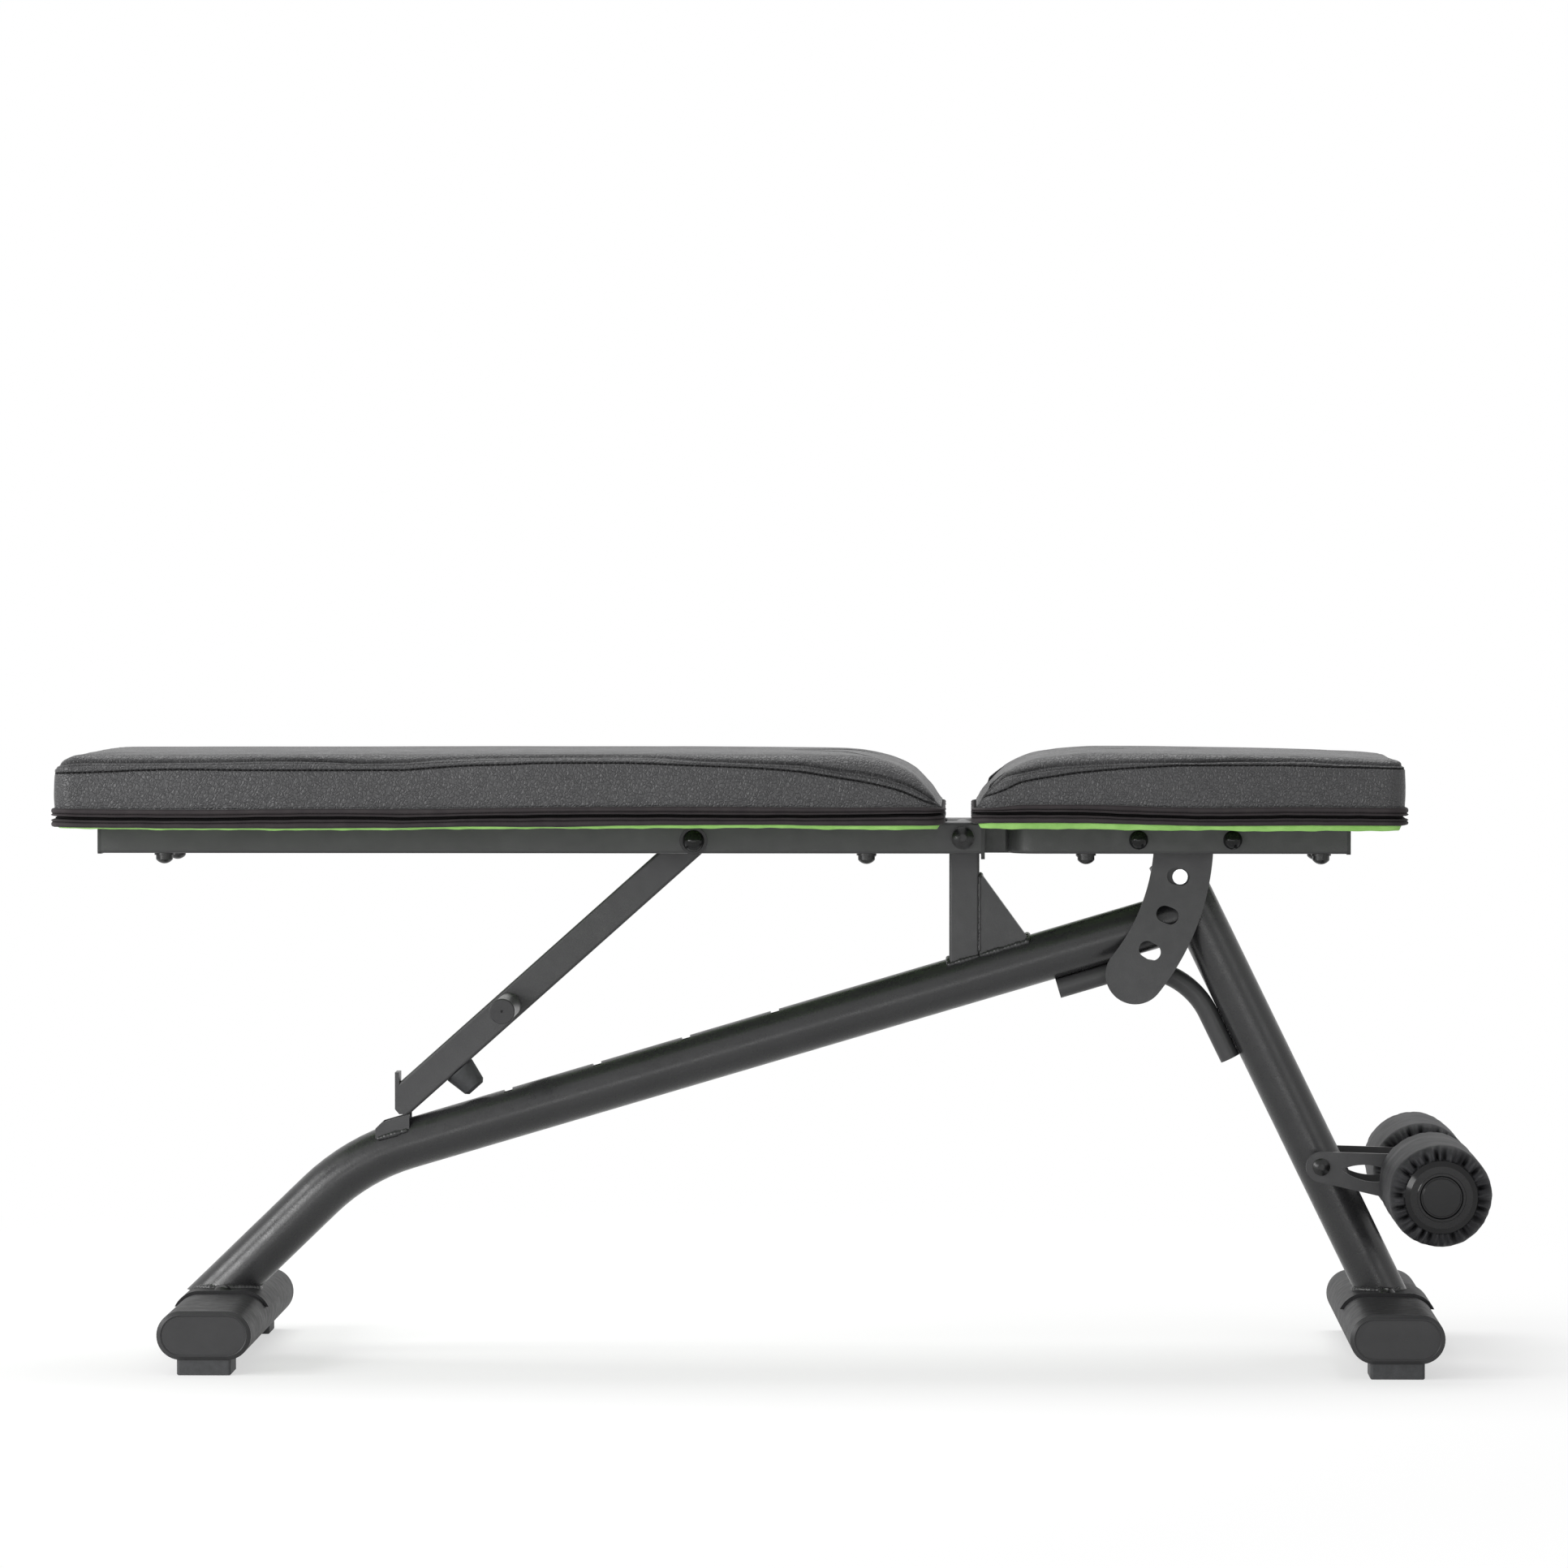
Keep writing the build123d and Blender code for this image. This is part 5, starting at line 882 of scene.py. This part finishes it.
def bead(name, body, path, up, radius, closed):
    """Weld bead: a round section carried along the seam between two pieces. It swells with each
    step of the torch, and wanders a little in size."""
    path = np.asarray(path, float)
    pieces = np.linalg.norm(np.diff(path, axis=0), axis=1)
    run = np.concatenate([[0], np.cumsum(pieces)])
    count = max(8, int(run[-1] / 0.8))
    at = np.linspace(0, run[-1], count + (0 if closed else 1), endpoint=not closed)
    path = np.column_stack([np.interp(at, run, path[:, k]) for k in range(3)])
    swell = 0.78 + 0.22 * np.abs(np.sin(at / TORCH_STEP * math.pi))
    swell = swell + 0.24 * wander(at, (8.3, 14.7, 23.0), (radius, 2.0, 4.4))
    if not closed:
        swell = swell * np.sqrt(np.clip(np.minimum(at + 0.3, run[-1] + 0.3 - at) / (radius * 1.4), 0.05, 1))
    angle = np.arange(10) * TAU / 10
    section = radius * swell[:, None, None] * np.stack([np.cos(angle), np.sin(angle)], -1)
    skin = sweep(name, path, section, np.asarray(up, float), closed)
    return finish_piece(skin, WELD_COAT, body)


def main_axis_z(x):
    """Height of the main tube's long axis."""
    return MAIN_AXIS_Z + x * math.tan(MAIN_SLOPE)


def main_top_z(x, y):
    """Height of the main tube's upper skin at a place beside its middle plane."""
    return main_axis_z(x) + np.sqrt(np.maximum(MAIN_R ** 2 - y ** 2, 0)) / math.cos(MAIN_SLOPE)


def saddle_top_z(x, bar_x):
    """Height of a saddle's upper skin: level in its middle, a circle over the bar's shoulders."""
    grown = BAR_HIGH / 2 + SADDLE_T
    past = np.maximum(np.abs(x - bar_x) - (BAR_LONG - BAR_HIGH) / 2, 0)
    return BAR_TOP - BAR_HIGH / 2 + np.sqrt(np.maximum(grown ** 2 - past ** 2, 0))


def leg_on_saddle(axis_x, axis_z, slope, radius, bar_x, toe):
    """Line where a leg meets its saddle: round the leg, each point slides along the leg until it
    lies on the saddle, or on the leg's level end where that overhangs the saddle's shoulder. The
    bead stops short of the toe, which points along x by the sign of toe."""
    angle = np.linspace(-0.8 * math.pi, 0.8 * math.pi, 97) + (0 if toe < 0 else math.pi)
    side = radius * np.cos(angle)
    y = radius * np.sin(angle)
    z = np.full_like(angle, BAR_TOP + SADDLE_T)
    for _ in range(12):
        x = axis_x + (z - axis_z) / math.tan(slope) + side / math.sin(slope)
        z = np.maximum(0.5 * z + 0.5 * saddle_top_z(x, bar_x), BAR_TOP - 0.6)
    return np.column_stack([x, y, z])


def on_main_tube(x, y):
    """Points on the main tube's upper skin."""
    return np.column_stack([x, y, main_top_z(x, y)])


def run_to(*corners):
    """Plan line through corners, a point every millimetre."""
    pieces = [np.linspace(a, b, max(2, round(math.dist(a, b)))) for a, b in zip(corners, corners[1:])]
    return np.concatenate(pieces).T


CAP_LINE_IN, CAP_LINE_R = 3.2, 0.8


def cap_rims():
    """Parting line moulded round the face of each foot bar's cap, a little inside its edge."""
    for node in ("rear_end_caps", "front_end_caps"):
        low, high = (np.array(corner) * 1000 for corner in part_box(node))
        radius = (high[2] - low[2]) / 2 - CAP_LINE_IN
        flat = (high[0] - low[0]) / 2 - (high[2] - low[2]) / 2
        angle = np.linspace(0, TAU, 97)
        x = (low[0] + high[0]) / 2 - PIVOT_X + flat * np.sign(np.cos(angle)) + radius * np.cos(angle)
        z = (low[2] + high[2]) / 2 + radius * np.sin(angle)
        octagon = np.column_stack([np.cos(angle[::12]), np.sin(angle[::12])])[:8]
        section = CAP_LINE_R * np.tile(octagon, (len(x) - 1, 1, 1))
        for y, side_name in ((low[1], "near"), (high[1], "far")):
            path = np.column_stack([x, 0 * x + y, z])
            line = sweep(f"{node}_line_{side_name}", path[:-1], section, np.array([0, 1.0, 0]), True)
            finish_piece(line, PLASTIC, "frame")


def weld_frame():
    """Beads of the welded frame."""
    up = (0, 0, 1)
    corner_z = main_axis_z(REAR_CORNER_X)
    rear = leg_on_saddle(REAR_CORNER_X, corner_z, REAR_LEG_SLOPE, MAIN_R, REAR_BAR_X, -1)
    front = leg_on_saddle(PIN_X, PIN_Z, math.pi - LEG_SLOPE, LEG_R, FRONT_BAR_X, 1)
    bead("weld_rear_leg", "frame", rear, up, 2.7, False)
    bead("weld_front_leg", "frame", front, up, 2.6, False)
    half, toe = POST_HALF + 0.4, GUSSET_FRONT_X + 0.6
    back, face = POST_X - half, POST_X + POST_HALF
    x, y = run_to((face, -half), (back, -half), (back, half), (face, half))
    bead("weld_seat_post", "frame", on_main_tube(x, y), up, 2.2, False)
    x, y = run_to((face, -half), (toe, -half), (toe, half), (face, half))
    bead("weld_gusset_foot", "frame", on_main_tube(x, y), up, 2.4, False)
    for sign, side_name in ((-1, "near"), (1, "far")):
        z = np.linspace(GUSSET_TOP_Z + 1, main_top_z(face, POST_HALF) + 3, 30)
        bead(f"weld_gusset_{side_name}", "frame",
             np.column_stack([0 * z + face, 0 * z + sign * (POST_HALF + 0.1), z]), (1, 0, 0), 1.0, False)
        x = np.linspace(-466, -441, 12)
        y = np.full_like(x, sign * 16.4)
        bead(f"weld_catch_{side_name}", "frame", on_main_tube(x, y) + np.array([0, 0, 0.4]), up, 2.2, False)
    y = np.linspace(-POST_HALF, POST_HALF, 24)
    top = np.column_stack([0 * y + face + 0.6, y, 0 * y + GUSSET_TOP_Z + 0.8])
    bead("weld_gusset_top", "frame", top, up, 2.2, False)
    angle = np.linspace(0, TAU, 97)
    y, lean = MAIN_R * np.sin(angle), MAIN_R * np.cos(angle)
    ahead = np.array([math.cos(MAIN_SLOPE), math.sin(MAIN_SLOPE)])
    square_to = np.array([-ahead[1], ahead[0]])
    away = np.array([-math.sin(LEG_SLOPE), -math.cos(LEG_SLOPE)])
    start = np.array([0, MAIN_AXIS_Z]) - np.array([PIN_X, PIN_Z])
    leg_face = np.sqrt(np.maximum(LEG_R ** 2 - y ** 2, 0))
    reach = (leg_face - start @ away - lean * (square_to @ away)) / (ahead @ away)
    meeting = np.array([0, MAIN_AXIS_Z]) + reach[:, None] * ahead + lean[:, None] * square_to
    main_to_leg = np.column_stack([meeting[:, 0], y, meeting[:, 1]])
    bead("weld_main_to_leg", "frame", main_to_leg, (0.3, 0, 1), 2.4, True)
    off, up_leg = HOUSING_R * np.cos(angle), HOUSING_R * np.sin(angle)
    housing = np.column_stack([PIN_X + off * math.sin(LEG_SLOPE) + up_leg * -math.cos(LEG_SLOPE),
                               np.sqrt(LEG_R ** 2 - off ** 2),
                               PIN_Z + off * math.cos(LEG_SLOPE) + up_leg * math.sin(LEG_SLOPE)])
    for sign, side_name in ((-1, "near"), (1, "far")):
        bead(f"weld_pin_housing_{side_name}", "frame", housing * (1, sign, 1), (0, 1, 0.01), 1.3, True)


def pin_place():
    """Axis of the pull pin, from its CAD node."""
    low, high = (np.array(corner) * 1000 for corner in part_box("pin_housing"))
    return (low[0] + high[0]) / 2 - PIVOT_X, (low[2] + high[2]) / 2, (high[2] - low[2]) / 2


def bar_middle(node):
    """Middle of a foot bar along the bench."""
    low, high = (np.array(corner) * 1000 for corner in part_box(node))
    return (low[0] + high[0]) / 2 - PIVOT_X


PIN_X, PIN_Z, HOUSING_R = pin_place()
REAR_BAR_X, FRONT_BAR_X = bar_middle("rear_foot_bar"), bar_middle("front_foot_bar")


# ---------------------------------------------------------------- studio
def area_light(name, at, towards, wide, high, power, tone="#ffffff"):
    """Soft box: a rectangle of light that faces a point."""
    lamp = bpy.data.lights.new(name, "AREA")
    lamp.shape, lamp.size, lamp.size_y, lamp.energy = "RECTANGLE", wide, high, power
    lamp.color = colour(tone)[:3]
    holder = bpy.data.objects.new(name, lamp)
    holder.location = at
    holder.rotation_euler = (Vector(towards) - Vector(at)).to_track_quat("-Z", "Y").to_euler()
    scene.collection.objects.link(holder)


def seen_by_eye(tree):
    """1 for camera, glossy and transmission rays, which meet the white studio, and 0 for the rays
    that light things."""
    path = add(tree, "ShaderNodeLightPath")
    most = path.outputs["Is Camera Ray"]
    for other in ("Is Glossy Ray", "Is Transmission Ray"):
        most = add(tree, "ShaderNodeMath", {0: most, 1: path.outputs[other]}, operation="MAXIMUM")
        most = most.outputs["Value"]
    return most


STUDIO_LIGHT = 0.5             # strength of the white studio where it lights things


def studio_world():
    """White studio round the bench: full white to the eye and in reflections, a low grey light."""
    world = bpy.data.worlds.new("white_studio")
    scene.world = world
    world.use_nodes = True
    tree = world.node_tree
    strength = add(tree, "ShaderNodeMapRange", {"Value": seen_by_eye(tree), "To Min": STUDIO_LIGHT,
                                                "To Max": 1.0})
    tree.links.new(strength.outputs["Result"], tree.nodes["Background"].inputs["Strength"])
    tree.nodes["Background"].inputs["Color"].default_value = (1, 1, 1, 1)


def studio_floor():
    """Pale floor: its own light keeps it white to the eye, and the part of it that is lit shows
    the bench's soft shadow; far from the bench it is plain white."""
    size = 14.0
    corners = np.array([[-size, -size, 0], [size, -size, 0], [size, size, 0], [-size, size, 0]], float)
    floor = mesh_object("studio_floor", corners, [[0, 1, 2, 3]])
    material = bpy.data.materials.new("white_studio_floor")
    material.use_nodes = True
    tree = material.node_tree
    tree.nodes.clear()
    lit = add(tree, "ShaderNodeBsdfDiffuse", {"Color": (0.36, 0.36, 0.36, 1)})
    glow = add(tree, "ShaderNodeEmission", {"Color": (1, 1, 1, 1), "Strength": 0.585})
    shown = add(tree, "ShaderNodeAddShader", {0: lit.outputs[0], 1: glow.outputs[0]})
    white = add(tree, "ShaderNodeEmission", {"Color": (1, 1, 1, 1), "Strength": 1.0})
    position = add(tree, "ShaderNodeTexCoord").outputs["Object"]
    distance = add(tree, "ShaderNodeVectorMath", {0: position}, operation="LENGTH").outputs["Value"]
    far = add(tree, "ShaderNodeMapRange", {"Value": distance, "From Min": 0.75, "From Max": 1.5},
              interpolation_type="SMOOTHSTEP")
    eye = add(tree, "ShaderNodeMixShader", {0: far.outputs["Result"], 1: shown.outputs[0],
                                            2: white.outputs[0]})
    plain = add(tree, "ShaderNodeBsdfDiffuse", {"Color": (0.7, 0.7, 0.7, 1)})
    both = add(tree, "ShaderNodeMixShader", {0: seen_by_eye(tree), 1: plain.outputs[0], 2: eye.outputs[0]})
    output = add(tree, "ShaderNodeOutputMaterial", {"Surface": both.outputs[0]})
    output.is_active_output = True
    floor.data.materials.append(material)


def studio_lights():
    """Key light near the eye, far to the left, with a smaller one close on that side; a box
    overhead and a little behind, which throws the soft shadow forwards; a rim light from the upper
    left; a low box in front that acts for a bright floor; a weak fill from the right."""
    area_light("key_box", (-3.0, -4.6, 1.3), (0.0, 0.0, 0.3), 1.8, 1.4, 46.0)
    area_light("side_box", (-1.7, -1.5, 0.7), (-0.4, 0.0, 0.4), 0.6, 0.6, 17.0)
    area_light("top_box", (0.0, 1.0, 3.0), (0.0, 0.0, 0.3), 3.0, 1.4, 62.0)
    area_light("left_rim", (-3.2, -0.9, 1.7), (-0.2, 0.0, 0.3), 1.4, 1.4, 55.0)
    area_light("low_box", (0.0, -3.0, 0.04), (0.0, 0.0, 0.35), 3.0, 0.5, 17.0)
    area_light("right_fill", (3.4, -2.6, 1.2), (0.2, 0.0, 0.3), 1.6, 1.6, 8.0)


def make_camera():
    """Long lens, almost level, looking across the bench from its near side."""
    lens = bpy.data.cameras.new("camera")
    lens.sensor_width, lens.lens = 36.0, 176.2
    lens.clip_end = 60.0
    camera = bpy.data.objects.new("camera", lens)
    camera.location = (0.1562, -6.100, 0.611)
    camera.rotation_euler = (math.radians(90 - 1.48), 0.0, math.radians(1.39))
    scene.collection.objects.link(camera)
    scene.camera = camera


# ---------------------------------------------------------------- the bench
scene.view_settings.view_transform = "Standard"
make_camera()
studio_world()
studio_floor()
studio_lights()
dress_cad_nodes()
for shape in (BACK, SEAT):
    sew_pad(shape, *build_pad(shape))
zip_band(BACK, -710.6, -16.2, "back_zip_band")
zip_band(SEAT, 8.8, 344.6, "seat_zip_band")
lining(BACK, -710.2, -15.0, "back_under_cover", [(-640, 15), (-214, 22), (-110, 15)])
lining(SEAT, 9.0, 344.4, "seat_under_cover", [(255, 15), (175, 62), (20, 40)])
roller_cover("roller_foam_near", "near_roller", -1, 0.7)
roller_cover("roller_foam_far", "far_roller", 1, 2.9)
weld_frame()
cap_rims()
